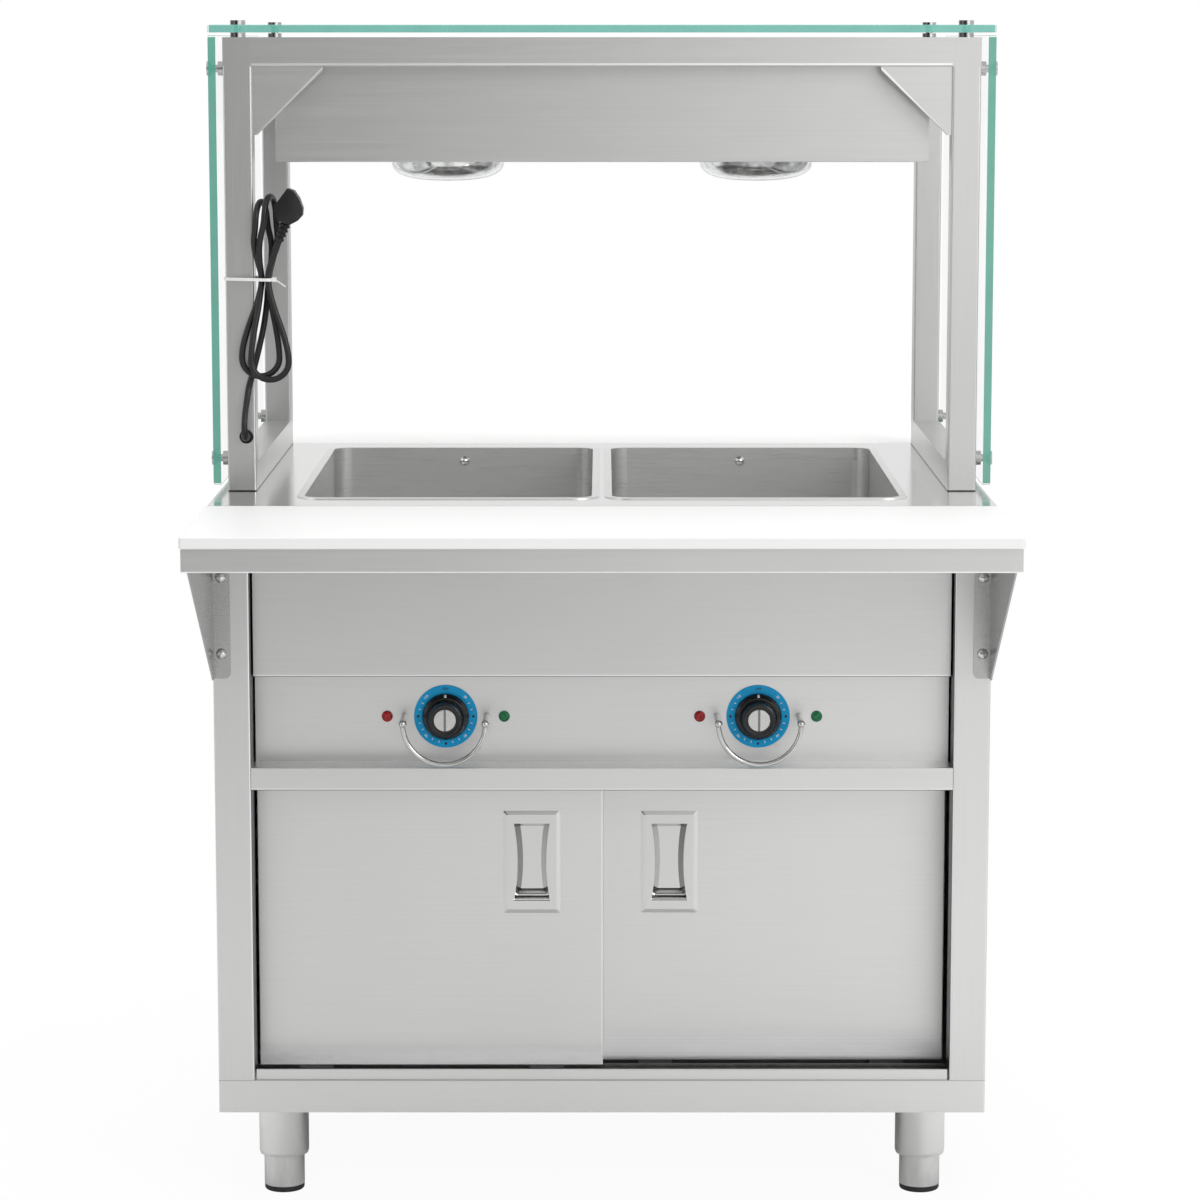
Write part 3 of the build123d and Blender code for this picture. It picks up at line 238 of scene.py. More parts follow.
def pathShare(tree, *rays):
    # 1 for any of the named kinds of ray
    lightPath = tree.nodes.new("ShaderNodeLightPath")
    return largest(tree, [lightPath.outputs[ray] for ray in rays])


# camera, as the photograph was taken
camera = {"focal": 3900, "width": 1200, "sensor": 36, "place": (0.0, -4.2801, 1.218), "down": 8.17,
          "turn": 0.029}
bpy.ops.object.camera_add(location=camera["place"],
                          rotation=(radians(90 - camera["down"]), 0, radians(camera["turn"])))
cam = bpy.context.object
cam.data.sensor_width = camera["sensor"]
cam.data.lens = camera["sensor"] * camera["focal"] / camera["width"]
cam.data.clip_end = 60
scene.camera = cam
scene.view_settings.view_transform = "Standard"
print("camera placed")

# floor: white paper to the camera, all of it far off, and most of it near the object, where its shadow falls
stage = {"floorSize": 24, "floorColour": (0.86, 0.86, 0.86), "nearShare": 0.94, "fade": (0.7, 1.5),
         "worldLevel": 0.62, "mirrorLevel": 0.9}
seenRays = ("Is Camera Ray", "Is Transmission Ray")
deselectAll()
bpy.ops.mesh.primitive_plane_add(size=stage["floorSize"], location=(0, 0, 0))
floor = newest("floor")
floorPaper, tree, shader = newMaterial("floorPaper", 0.9, 0.0, stage["floorColour"])
feed(tree, shader.inputs["Specular IOR Level"], 0.1)
place = tree.nodes.new("ShaderNodeTexCoord")
reach = tree.nodes.new("ShaderNodeVectorMath")
reach.operation = "LENGTH"
tree.links.new(place.outputs["Object"], reach.inputs[0])
fade = ranged(tree, reach.outputs["Value"], stage["nearShare"], 1.0, *stage["fade"], "SMOOTHSTEP")
white = tree.nodes.new("ShaderNodeEmission")
feed(tree, white.inputs["Strength"], 1.0)
blend = tree.nodes.new("ShaderNodeMixShader")
feed(tree, blend.inputs["Fac"], calculated(tree, "MULTIPLY", pathShare(tree, *seenRays), fade))
tree.links.new(shader.outputs[0], blend.inputs[1])
tree.links.new(white.outputs[0], blend.inputs[2])
tree.links.new(blend.outputs[0], tree.nodes["Material Output"].inputs["Surface"])
paint(floor, floorPaper)

# world: white where it is seen, and a little less in reflections and on what it lights
world = bpy.data.worlds.new("studio")
scene.world = world
world.use_nodes = True
tree = world.node_tree
levels = [ranged(tree, pathShare(tree, *rays), stage["worldLevel"], strength, 0, 1)
          for rays, strength in ((seenRays, 1.0), (["Is Glossy Ray"], stage["mirrorLevel"]))]
background = tree.nodes["Background"]
feed(tree, background.inputs["Color"], (1, 1, 1))
feed(tree, background.inputs["Strength"], largest(tree, levels))

lamps = [
    # name, place, aimed at, size, watts, seen in reflections
    ("keyLamp", (2.6, -3.2, 2.6), (0.1, 0, 0.6), (2.2, 1.8), 70, True),
    ("fillLamp", (-3.0, -2.8, 1.8), (0, 0, 0.6), (1.6, 2.0), 12, True),
    ("topLamp", (0.0, 0.3, 3.6), (0, 0, 0.7), (2.6, 2.6), 62, False),
    ("backLamp", (0.4, 3.4, 2.4), (0, 0, 0.8), (3.0, 1.6), 45, False),
]
for name, place, aim, size, watts, seen in lamps:
    deselectAll()
    bpy.ops.object.light_add(type="AREA", location=place)
    lamp = newest(name)
    lamp.data.shape = "RECTANGLE"
    lamp.data.size, lamp.data.size_y = size
    lamp.data.energy = watts
    lamp.visible_glossy = seen
    lamp.rotation_euler = (Vector(aim) - Vector(place)).to_track_quat("-Z", "Y").to_euler()

# a card in front that only reflections see: dark on the left, bright on the right
card = {"place": (0, -6.0, 1.75), "size": (11.0, 3.3), "reach": 1.3, "left": 0.06, "right": 1.28}
deselectAll()
bpy.ops.mesh.primitive_plane_add(size=1, location=(0, 0, 0))
reflector = newest("frontCard")
reflector.scale = (*card["size"], 1)
putAt(reflector, card["place"], (radians(90), 0, 0))
cardPaint, tree, shader = newMaterial("frontCard")
glow = tree.nodes.new("ShaderNodeEmission")
feed(tree, glow.inputs["Strength"],
     ranged(tree, objectParts(tree)["X"], card["left"], card["right"], -card["reach"], card["reach"]))
tree.links.new(glow.outputs[0], tree.nodes["Material Output"].inputs["Surface"])
paint(reflector, cardPaint)
for ray in ("camera", "diffuse", "transmission", "shadow", "volume_scatter"):
    setattr(reflector, "visible_" + ray, False)
print("stage set")


# brushed steels, with lines along the edges of the pieces: painted highlights and painted shade at folds and
# edges, and a few dark seams
def beside(way, edge, low, high, tone, *depths):
    # a line along an edge, from low to high in mm from it, and kept to a range of Y where one is given
    return way, edge + low / 1000, edge + high / 1000, tone, *depths


def lined(tree, shade, lines):
    # "across" is the distance from the middle, and "slope" that distance plus the height
    parts = objectParts(tree)
    across = calculated(tree, "ABSOLUTE", parts["X"])
    slope = calculated(tree, "ADD", across, parts["Z"])
    ways = {"X": parts["X"], "Y": parts["Y"], "Z": parts["Z"], "across": across, "slope": slope}

    def between(way, low, high):
        return calculated(tree, "COMPARE", ways[way], (low + high) / 2, (high - low) / 2)

    # each line lays a flat tone into the colour: painted highlights, painted shade and dark seams
    for way, low, high, tone, *depths in lines:
        mask = between(way, low, high)
        if depths:
            mask = calculated(tree, "MULTIPLY", mask, between("Y", *depths))
        shade = mixedColour(tree, mask, shade, (tone, tone, tone))
    return shade


def brushedSteel(name, stretch, tone=0.66, spread=0.035, rough=0.34, bump=0.04, lines=()):
    # grain drawn out along one way, in a coarse and a fine size, over slow cloudiness from handling
    material, tree, shader = newMaterial(name, rough, 1.0)
    coarse = objectNoise(tree, stretch, 4.0)
    fine = objectNoise(tree, tuple(v * 2.7 for v in stretch))
    cloud = objectNoise(tree, (2.2, 2.2, 2.2))
    grain = mixed(tree, 0.6, coarse, fine)
    tint = ranged(tree, mixed(tree, 0.4, grain, cloud), 0, 1, 0.35, 0.65)
    low, high = tone - spread, tone + spread
    shade = mixedColour(tree, tint, (low, low, low * 0.99), (high, high, high * 0.985))
    if lines:
        shade = lined(tree, shade, lines)
    feed(tree, shader.inputs["Base Color"], shade)
    feed(tree, shader.inputs["Roughness"], ranged(tree, grain, rough - 0.05, rough + 0.06))
    bumped(tree, shader, grain, bump, 0.0004)
    return material


# the grain's two ways, and the edges of CAD pieces that lines run along
alongX, alongZ = (4, 4, 1100), (1100, 1100, 4)
postWidth = 0.038
shelfFoot = corners("front_shelf")[0].z
upperFoot = corners("upper_panel")[0].z
dividerFoot, dividerTop = [corner.z for corner in corners("divider_shelf")]
postFoot = corners("cabinet_posts")[0].z
postInner = corners("cabinet_posts")[1].x - postWidth
trayFront = corners("base_tray")[0].y
trayTop = corners("base_tray")[1].z
guardSide = corners("guard_posts")[1].x
guardFoot = corners("guard_posts")[0].z
gussetLow, gussetHigh = corners("guard_gussets")
guardSeam = beside("Z", guardFoot, -0.5, 1.1, 0.05)

panelSteel = brushedSteel("panelSteel", alongX)
# the apron's bottom hem gets a painted highlight line
apronSteel = brushedSteel("apronSteel", alongX, tone=0.62, lines=[beside("Z", shelfFoot, -0.2, 1.4, 0.92)])
# the upper panel's foot gets a painted shadow line, with a painted highlight line just above it
upperSteel = brushedSteel("upperSteel", alongX, tone=0.64,
                          lines=[beside("Z", upperFoot, -0.4, 0.7, 0.10),
                                 beside("Z", upperFoot, 0.7, 2.2, 0.84)])
# the divider gets a painted shade line at its foot, a painted highlight line just above that, and a painted
# highlight on its top edge
dividerSteel = brushedSteel("dividerSteel", alongX,
                            lines=[beside("Z", dividerFoot, -0.5, 0.8, 0.12),
                                   beside("Z", dividerFoot, 0.8, 2.0, 0.82),
                                   beside("Z", dividerTop, -0.6, 0.6, 0.95)])
# a seam across the tray's face, and behind it a painted highlight that makes the ledge pale
traySteel = brushedSteel("traySteel", alongX, tone=0.70, rough=0.52,
                         lines=[beside("Z", postFoot, -1.0, 0.3, 0.45, trayFront - 0.0015,
                                       trayFront + 0.0023),
                                ("Z", postFoot - 0.0005, trayTop + 0.0002, 0.96, trayFront + 0.003, 0.28)])
# the posts' inner side faces are painted near black as shade, and their inner front corners get a painted
# highlight
postSteel = brushedSteel("postSteel", alongZ, lines=[beside("across", postInner, -0.8, 0.3, 0.02),
                                                     beside("across", postInner, 0.3, 1.5, 0.84)])
sleeveSteel = brushedSteel("sleeveSteel", (500, 500, 4), tone=0.68, spread=0.02, rough=0.22)
guardSteel = brushedSteel("guardSteel", alongZ, tone=0.59, lines=[guardSeam])
# the crossbar gets a painted highlight line along its lower edge, just above the gussets
railSteel = brushedSteel("railSteel", alongX, tone=0.60,
                         lines=[guardSeam, beside("Z", gussetHigh.z, 1.5, 3.1, 0.95)])
# the gussets get a painted highlight line along their sloping edge
gussetSteel = brushedSteel("gussetSteel", alongX, tone=0.61,
                           lines=[beside("slope", gussetHigh.x + gussetLow.z, -6.0, -3.3, 0.90)])
# the glass fixings get a dark band near each side: painted shade
fixingSteel = brushedSteel("fixingSteel", (60, 60, 60), tone=0.46, spread=0.04, rough=0.26,
                           lines=[beside("X", -guardSide, 8.0, 15.5, 0.10),
                                  beside("X", guardSide, -22.5, -15.0, 0.10)])
rodSteel = brushedSteel("rodSteel", (60, 60, 60), tone=0.56, spread=0.03, rough=0.10)
bracketSteel = brushedSteel("bracketSteel", (900, 900, 900), tone=0.46, rough=0.26)
# the guide rails are toned near black: painted shade in the gap under the doors
guideSteel = brushedSteel("guideSteel", (40, 40, 40), tone=0.10, spread=0.03, rough=0.45)
wellSteel = brushedSteel("wellSteel", (10, 10, 1200), tone=0.76, spread=0.015, rough=0.30, bump=0.02)
counterSteel = brushedSteel("counterSteel", (6, 700, 700), tone=0.70, spread=0.02, rough=0.15, bump=0.02)
plainSteel = brushedSteel("plainSteel", (40, 40, 40), tone=0.48, rough=0.42)
brightSteel = brushedSteel("brightSteel", (60, 60, 60), tone=0.66, spread=0.03, rough=0.08, bump=0.01)
insertSteel = brushedSteel("insertSteel", (90, 90, 90), tone=0.66, spread=0.04, rough=0.28, bump=0.02)
darkElement = brushedSteel("darkElement", (60, 60, 60), tone=0.20, spread=0.08, rough=0.5)

# the tray in front of the doors gives their foot little light, so the foot is toned lighter, and
# higher up on the right door, which stands further back
doorTone = {"plain": 0.66, "foot": (0.74, 0.86, 0.94, 0.95, 0.88, 0.78, 0.71),
            "rise": {"left": 2.7, "right": 4.2}, "share": {"left": 1.0, "right": 0.55}}
doorLow, doorHigh = corners("door_left")
doorSteels, pullSteels = {}, {}
for sideName in sides:
    rise, share = doorTone["rise"][sideName], doorTone["share"][sideName]
    lines = [beside("Z", doorLow.z, step * rise, (step + 1) * rise,
                    doorTone["plain"] + share * (tone - doorTone["plain"]))
             for step, tone in enumerate(doorTone["foot"])]
    if sideName == "left":
        # a painted highlight along the edge that shows in front of the right door
        lines.append(beside("X", doorHigh.x, -1.4, 1.0, 0.84))
    doorSteels[sideName] = brushedSteel("doorSteel_" + sideName, alongX, tone=doorTone["plain"], lines=lines)
    # painted shade on the outer wall of the pull's cup, toned dark
    face = corners("door_" + sideName)[0].y
    pullLow, pullHigh = corners("pull_" + sideName)
    outerEdge = (pullLow.x, 9.8, 20.4) if sideName == "left" else (pullHigh.x, -20.4, -9.8)
    pullSteels[sideName] = brushedSteel("pullSteel_" + sideName, (4, 4, 900), tone=0.60, spread=0.02,
                                        rough=0.18, bump=0.02,
                                        lines=[beside("X", *outerEdge, 0.28, face + 0.0002, face + 0.0138)])


# other finishes
def slottedCap():
    # brushed cap of the knob, with painted shade in the bottom of its slot
    material, tree, shader = newMaterial("capSteel", 0.32, 1.0)
    slotBottom = corners("knob_cap_left")[0].y + 0.00045
    slotShade = calculated(tree, "GREATER_THAN", objectParts(tree)["Y"], slotBottom)
    grain = objectNoise(tree, (500, 500, 500))
    metal = mixedColour(tree, grain, (0.50, 0.50, 0.49), (0.66, 0.66, 0.65))
    feed(tree, shader.inputs["Base Color"], mixedColour(tree, slotShade, metal, (0.20, 0.20, 0.20)))
    bumped(tree, shader, grain, 0.04, 0.0003)
    return material


def moulded(name, colour, rough=0.45, grain=900, bump=0.08, spread=0.12, shine=0.4):
    material, tree, shader = newMaterial(name, rough, 0.0, colour)
    feed(tree, shader.inputs["Specular IOR Level"], shine)
    fine = objectNoise(tree, (grain, grain, grain))
    light = tuple(min(1, c * (1 + spread) + 0.004) for c in colour)
    dark = tuple(c * (1 - spread) for c in colour)
    feed(tree, shader.inputs["Base Color"], mixedColour(tree, fine, dark, light))
    feed(tree, shader.inputs["Roughness"], ranged(tree, fine, rough - 0.05, rough + 0.06))
    bumped(tree, shader, fine, bump, 0.0002)
    return material


def lensPlastic(name, colour):
    # pilot lamp lens: coloured, glossy, with moulded ribs behind the face, which are not modelled: their
    # mottled light and dark is painted into the colour as highlight and shade
    material, tree, shader = newMaterial(name, 0.12, 0.0, colour)
    ribs = ranged(tree, objectNoise(tree, (420, 60, 420)), 0, 1, 0.35, 0.65)
    dark = tuple(c * 0.35 for c in colour)
    light = tuple(c * 1.3 + 0.01 for c in colour)
    feed(tree, shader.inputs["Base Color"], mixedColour(tree, ribs, dark, light))
    feed(tree, shader.inputs["Specular IOR Level"], 0.25)
    feed(tree, shader.inputs["Coat Weight"], 0.15)
    feed(tree, shader.inputs["Coat Roughness"], 0.04)
    return material


def bulbFinishes():
    glass, tree, shader = newMaterial("bulbGlass", 0.02, 0.0, (0.96, 0.97, 0.97))
    feed(tree, shader.inputs["Transmission Weight"], 1.0)
    feed(tree, shader.inputs["IOR"], 1.45)
    haze = objectNoise(tree, (60, 60, 60))
    feed(tree, shader.inputs["Roughness"], ranged(tree, haze, 0.0, 0.03))
    mirror, tree, shader = newMaterial("bulbMirror", 0.06, 1.0, (0.86, 0.86, 0.85))
    # the silvering's colour is streaked dark along the same ripple that bumps it: painted dark reflections
    rippleAndDarkReflection = ranged(tree, objectNoise(tree, (45, 45, 45)), 0, 1, 0.38, 0.62)
    feed(tree, shader.inputs["Base Color"],
         mixedColour(tree, rippleAndDarkReflection, (0.22, 0.22, 0.22), (0.80, 0.80, 0.79)))
    bumped(tree, shader, rippleAndDarkReflection, 0.06, 0.002)
    return glass, mirror


def clearGlass(name, node, axes, edgeColour):
    # clear over the face, and green on the edges that lie at the ends of the given axes
    faceColour, edgeDepth = (0.80, 0.93, 0.89), 0.0007
    material, tree, shader = newMaterial(name, 0.03, 0.0, faceColour)
    parts = objectParts(tree)
    low, high = corners(node)
    masks = []
    for axis in axes:
        number = "XYZ".index(axis)
        masks.append(calculated(tree, "LESS_THAN", parts[axis], low[number] + edgeDepth))
        masks.append(calculated(tree, "GREATER_THAN", parts[axis], high[number] - edgeDepth))
    edge = largest(tree, masks)
    streaks = objectNoise(tree, (30, 30, 30))
    green = mixedColour(tree, streaks, tuple(c * 0.8 for c in edgeColour), edgeColour)
    feed(tree, shader.inputs["Base Color"], mixedColour(tree, edge, faceColour, green))
    # an edge seen from inside the pane stays clear
    inside = tree.nodes.new("ShaderNodeNewGeometry").outputs["Backfacing"]
    outer = calculated(tree, "MAXIMUM", calculated(tree, "SUBTRACT", edge, inside), 0)
    feed(tree, shader.inputs["Alpha"], ranged(tree, outer, 0.06, 0.93, 0, 1))
    return material


def padAndInsert():
    # rubber pad below, brushed metal above it
    padTop = 0.0064
    material, tree, shader = newMaterial("footFinish", 0.34, 1.0)
    above = calculated(tree, "GREATER_THAN", objectParts(tree)["Z"], padTop)
    grain = objectNoise(tree, (300, 300, 60))
    metal = mixedColour(tree, grain, (0.58, 0.58, 0.58), (0.70, 0.70, 0.69))
    feed(tree, shader.inputs["Base Color"], mixedColour(tree, above, (0.008, 0.008, 0.009), metal))
    feed(tree, shader.inputs["Metallic"], above)
    feed(tree, shader.inputs["Roughness"], ranged(tree, above, 0.55, 0.33, 0, 1))
    bumped(tree, shader, grain, 0.05, 0.0004)
    return material


capSteel = slottedCap()
boardWhite = moulded("boardWhite", (0.79, 0.79, 0.785), 0.42, 700, 0.05, 0.015)
dialBlue = moulded("dialBlue", (0.0, 0.35, 0.69), 0.38, 500, 0.03, 0.06, 0.2)
knobBlack = moulded("knobBlack", (0.007, 0.007, 0.008), 0.24, 900, 0.04, 0.25)
rubberBlack = moulded("rubberBlack", (0.007, 0.007, 0.008), 0.40, 700, 0.10, 0.2)
plugBlack = moulded("plugBlack", (0.007, 0.007, 0.008), 0.34, 1100, 0.12, 0.22)
glideNylon = moulded("glideNylon", (0.030, 0.030, 0.031), 0.5, 500, 0.05, 0.1)
tieNylon = moulded("tieNylon", (0.80, 0.80, 0.78), 0.38, 600, 0.05, 0.04)
ceramicWhite = moulded("ceramicWhite", (0.76, 0.75, 0.71), 0.25, 300, 0.02, 0.03)
markWhite = moulded("markWhite", (0.85, 0.86, 0.87), 0.4, 500, 0.02, 0.03)
redLens = lensPlastic("redLens", (0.36, 0.004, 0.010))
greenLens = lensPlastic("greenLens", (0.0, 0.17, 0.055))
bulbGlass, bulbMirror = bulbFinishes()
roofPane = clearGlass("roofPane", "roof_glass", "XY", (0.155, 0.49, 0.415))
sidePane = clearGlass("sidePane", "side_glass", "YZ", (0.095, 0.38, 0.29))
footFinish = padAndInsert()
print("finishes mixed")

# CAD nodes that keep their shape, each after its finish
dressed = [
    (panelSteel, "control_panel", "side_panel_left", "side_panel_right", "back_panel"),
    (traySteel, "base_tray"),
    (dividerSteel, "divider_shelf"),
    (upperSteel, "upper_panel"),
    (apronSteel, "front_shelf", "rear_shelf"),
    (doorSteels["left"], "door_left"),
    (doorSteels["right"], "door_right"),
    (postSteel, "cabinet_posts"),
    (sleeveSteel, "leg_sleeves"),
    (guardSteel, "guard_posts"),
    (railSteel, "guard_rails", "lamp_housing", "housing_lid"),
    (gussetSteel, "guard_gussets"),
    (bracketSteel, "shelf_brackets"),
    (guideSteel, "door_guide_rails"),
    (counterSteel, "countertop"),
    (wellSteel, "well_left", "well_right"),
    (plainSteel, "hanger_track", "heat_shields", "thermostats", "control_shaft_left", "control_shaft_right"),
    (pullSteels["left"], "pull_left"),
    (pullSteels["right"], "pull_right"),
    (brightSteel, "bracket_bolts", "well_screws", "heat_lamps"),
    (rodSteel, "knob_guards"),
    (fixingSteel, "glass_fixings"),
    (footFinish, "foot_front_left", "foot_front_right", "foot_rear_left", "foot_rear_right"),
    (darkElement, "heating_elements"),
    (boardWhite, "front_board", "rear_board"),
    (dialBlue, "dial_rings"),
    (knobBlack, "knob_left", "knob_right"),
    (capSteel, "knob_cap_left", "knob_cap_right"),
    (redLens, "red_lamps"),
    (greenLens, "green_lamps"),
    (glideNylon, "glides_left", "glides_right"),
    (ceramicWhite, "lamp_sockets"),
    (roofPane, "roof_glass"),
    (sidePane, "side_glass"),
    (rubberBlack, "grommet"),
    (plugBlack, "plug"),
    (tieNylon, "cord_tie"),
]
for finish, *cadNodes in dressed:
    for node in cadNodes:
        dress(node, finish)
print("CAD nodes finished")

# power cord: from the grommet up into a hank of two turns, tied at its waist, then to the plug
cord = {"radius": 0.00325, "front": corners("base_tray")[0].y,
        # X, distance behind the front of the body, Z
        "route": [(-0.3750, 0.0975, 0.8040), (-0.3750, 0.0865, 0.8040), (-0.3750, 0.0806, 0.8072),
                  (-0.3750, 0.0772, 0.8130), (-0.3749, 0.0776, 0.8210), (-0.3744, 0.0824, 0.8310),
                  (-0.3732, 0.0896, 0.8425), (-0.3716, 0.0958, 0.8565), (-0.3680, 0.0958, 0.8680),
                  (-0.3600, 0.0966, 0.8980), (-0.3530, 0.0978, 0.9300)],
        "turns": 2, "pitch": 0.0072, "waist": (-0.3528, 0.0965, 0.970), "waistHalf": 0.00365,
        "loopBehind": 0.085, "loopRadius": 0.020, "loopLow": (0.8889, 0.8857), "loopFan": (-0.0052, 0.0052),
        "foldX": -0.3522, "foldBehind": 0.104, "foldRadius": 0.0195, "foldHigh": (1.0310, 1.0365),
        "foldTwist": 78, "foldPitch": 0.0096,
        "end": [(-0.3466, 0.0853, 0.985), (-0.3443, 0.0853, 0.9911), (-0.3369, 0.0853, 1.0108)]}


def ease(t):
    return t * t * (3 - 2 * t)


def lowerStrand(side, turn, t):
    # between a bottom loop (t = 0) and the waist (t = 1); the right strand climbs a layer
    e = ease(t)
    spread = cord["loopRadius"] + (cord["waistHalf"] - cord["loopRadius"]) * e
    layer = turn - 0.5 + (e if side > 0 else 0)
    x = cord["waist"][0] + cord["loopFan"][turn] * (1 - e) + side * spread
    y = cord["loopBehind"] + (cord["waist"][1] - cord["loopBehind"]) * e - layer * cord["pitch"]
    return x, y, cord["loopLow"][turn] + (cord["waist"][2] - cord["loopLow"][turn]) * t


def upperStrand(side, turn, t, out=0.0, up=0.0):
    # between the waist (t = 0) and a top fold (t = 1), where the hank turns sideways
    e = ease(t)
    spread = side * (cord["waistHalf"] + (cord["foldRadius"] - cord["waistHalf"]) * e) + out
    lift = (turn - 0.5) * (cord["pitch"] + (cord["foldPitch"] - cord["pitch"]) * e)
    angle = radians(cord["foldTwist"] * e)
    x = cord["waist"][0] + (cord["foldX"] - cord["waist"][0]) * e + spread * cos(angle) + lift * sin(angle)
    y = cord["waist"][1] + (cord["foldBehind"] - cord["waist"][1]) * e
    y += spread * sin(angle) - lift * cos(angle)
    return x, y, cord["waist"][2] + (cord["foldHigh"][turn] - cord["waist"][2]) * t + up


def loopPoints(radius, way):
    # control points round a half turn, from one side to the other
    reach = radius / cos(radians(22.5))
    return [(way * reach * cos(radians(a)), reach * sin(radians(a))) for a in (22.5, 67.5, 112.5, 157.5)]


hankPoints = []
upperTimes, lowerTimes = (0.06, 0.33, 0.62, 0.88), (0.12, 0.38, 0.67, 0.94)
for turn in range(cord["turns"]):
    hankPoints += [upperStrand(1, turn, t) for t in upperTimes]
    for along, rise in loopPoints(cord["foldRadius"], 1):
        hankPoints.append(upperStrand(0, turn, 1, along, rise))
    hankPoints += [upperStrand(-1, turn, t) for t in reversed(upperTimes)]
    hankPoints += [lowerStrand(-1, turn, t) for t in reversed(lowerTimes)]
    for along, drop in loopPoints(cord["loopRadius"], -1):
        x, y, z = lowerStrand(0, turn, 0)
        hankPoints.append((x + along, y, z - drop))
    hankPoints += [lowerStrand(1, turn, t) for t in lowerTimes]
waistOut = (cord["waist"][0] + cord["waistHalf"], cord["waist"][1] - 1.5 * cord["pitch"],
            cord["waist"][2] + 0.004)
cordPoints = cord["route"] + hankPoints + [waistOut] + cord["end"]


def cordPlace(point):
    return Vector((point[0], point[1] + cord["front"], point[2]))


def tubeCurve(name, kind, radius, places):
    curve = bpy.data.curves.new(name, "CURVE")
    curve.dimensions = "3D"
    curve.bevel_depth = radius
    curve.bevel_resolution = 6
    curve.use_fill_caps = True
    spline = curve.splines.new(kind)
    spline.points.add(len(places) - 1)
    for spot, place in zip(spline.points, places):
        spot.co = (*place, 1)
    obj = bpy.data.objects.new(name, curve)
    scene.collection.objects.link(obj)
    return obj, spline


powerCord, spline = tubeCurve("powerCord", "NURBS", cord["radius"],
                              [cordPlace(point) for point in cordPoints])
spline.order_u = 3
spline.use_endpoint_u = True
spline.resolution_u = 10
paint(powerCord, rubberBlack)
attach(powerCord, "cabinet")
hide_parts("cord_exit", "cord_hank", "plug_lead")
print("cord laid", len(cordPoints), "points")

# the cord's line as it is drawn, for the pieces that sit on it
bareCord = bpy.data.objects.new("bareCord", powerCord.data.copy())
bareCord.data.bevel_depth = 0
scene.collection.objects.link(bareCord)
bpy.context.view_layer.update()
lineMesh = bpy.data.meshes.new_from_object(bareCord.evaluated_get(bpy.context.evaluated_depsgraph_get()))
cordLine = [vertex.co.copy() for vertex in lineMesh.vertices]
bpy.data.objects.remove(bareCord)

# strain relief at the grommet: a tapered sleeve on the first stretch of cord
relief = {"length": 0.022, "thick": 0.0046, "thin": 0.00365}
sleevePoints, gone = [], 0.0
for before, after in zip(cordLine, cordLine[1:]):
    sleevePoints.append((before, gone))
    gone += (after - before).length
    if gone > relief["length"]:
        break
cordSleeve, spline = tubeCurve("cordSleeve", "POLY", 1.0, [point for point, far in sleevePoints])
for spot, (point, far) in zip(spline.points, sleevePoints):
    spot.radius = relief["thick"] + (relief["thin"] - relief["thick"]) * far / relief["length"]
keepOnly(cordSleeve)
bpy.ops.object.convert(target="MESH")
cordSleeve = newest("cordSleeve")
smooth(cordSleeve)
paint(cordSleeve, plugBlack)
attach(cordSleeve, "cabinet")

# grommet: a soft bead round a raised collar
rimProfile = [(0, 0), (0.0070, 0), (0.0074, 0.0004), (0.0074, 0.0013), (0.0070, 0.0020), (0.0064, 0.0023),
              (0.0058, 0.0021), (0.0055, 0.0016), (0.0052, 0.0016), (0.0049, 0.0023), (0.0045, 0.0025),
              (0, 0.0025)]
grommetMiddle = (corners("grommet")[0] + corners("grommet")[1]) / 2
rim = turned("grommetRim", rimProfile, 48)
putAt(rim, (grommetMiddle.x, corners("guard_posts")[0].y, grommetMiddle.z), (radians(90), 0, 0))
smooth(rim)
paint(rim, plugBlack)
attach(rim, "cabinet")
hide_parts("grommet")
print("cord ends dressed")

# plug: a moulded head with a slanted face, a ribbed neck, and three metal pins
plug = {"run": Vector((0.35, 0, 0.937)).normalized(), "depth": 0.024, "neck": 0.020, "ribs": 4,
        "ribPitch": 0.0050, "ribGrowth": 0.0004, "slantSpot": (0.0065, -0.012, 0.018),
        "slantNormal": (0.80, -0.58, 0.12),
        # across the plug and along it, in mm
        "outline": [(-8, -0.5), (5, -0.5), (11, 6), (14, 13.5), (12, 20.5), (5, 29), (-3, 34.5),
                    (-10, 34.5), (-16.8, 11.7)]}
leadEnd = cordPlace(cord["end"][-1])
neckEnd = leadEnd + plug["run"] * plug["neck"]
acrossPlug = Vector((plug["run"].z, 0, -plug["run"].x))
plugFrame = Matrix((acrossPlug, Vector((0, 1, 0)), plug["run"])).transposed().to_4x4()

deselectAll()
bpy.ops.mesh.primitive_circle_add(vertices=len(plug["outline"]), radius=0.01, fill_type="NGON",
                                  location=(0, 0, 0))
head = newest("plugHead")
for vertex, (x, z) in zip(head.data.vertices, plug["outline"]):
    vertex.co = (x / 1000, plug["depth"] / 2, z / 1000)
bpy.ops.object.mode_set(mode="EDIT")
bpy.ops.mesh.select_all(action="SELECT")
bpy.ops.mesh.extrude_region_move(TRANSFORM_OT_translate={"value": (0, -plug["depth"], 0)})
bpy.ops.mesh.select_all(action="SELECT")
bpy.ops.mesh.normals_make_consistent(inside=False)
bpy.ops.mesh.bisect(plane_co=plug["slantSpot"], plane_no=plug["slantNormal"], use_fill=True,
                    clear_outer=True)
bpy.ops.mesh.select_all(action="SELECT")
bpy.ops.mesh.normals_make_consistent(inside=False)
bpy.ops.object.mode_set(mode="OBJECT")
rounded(head, 0.0022, 4, 20)

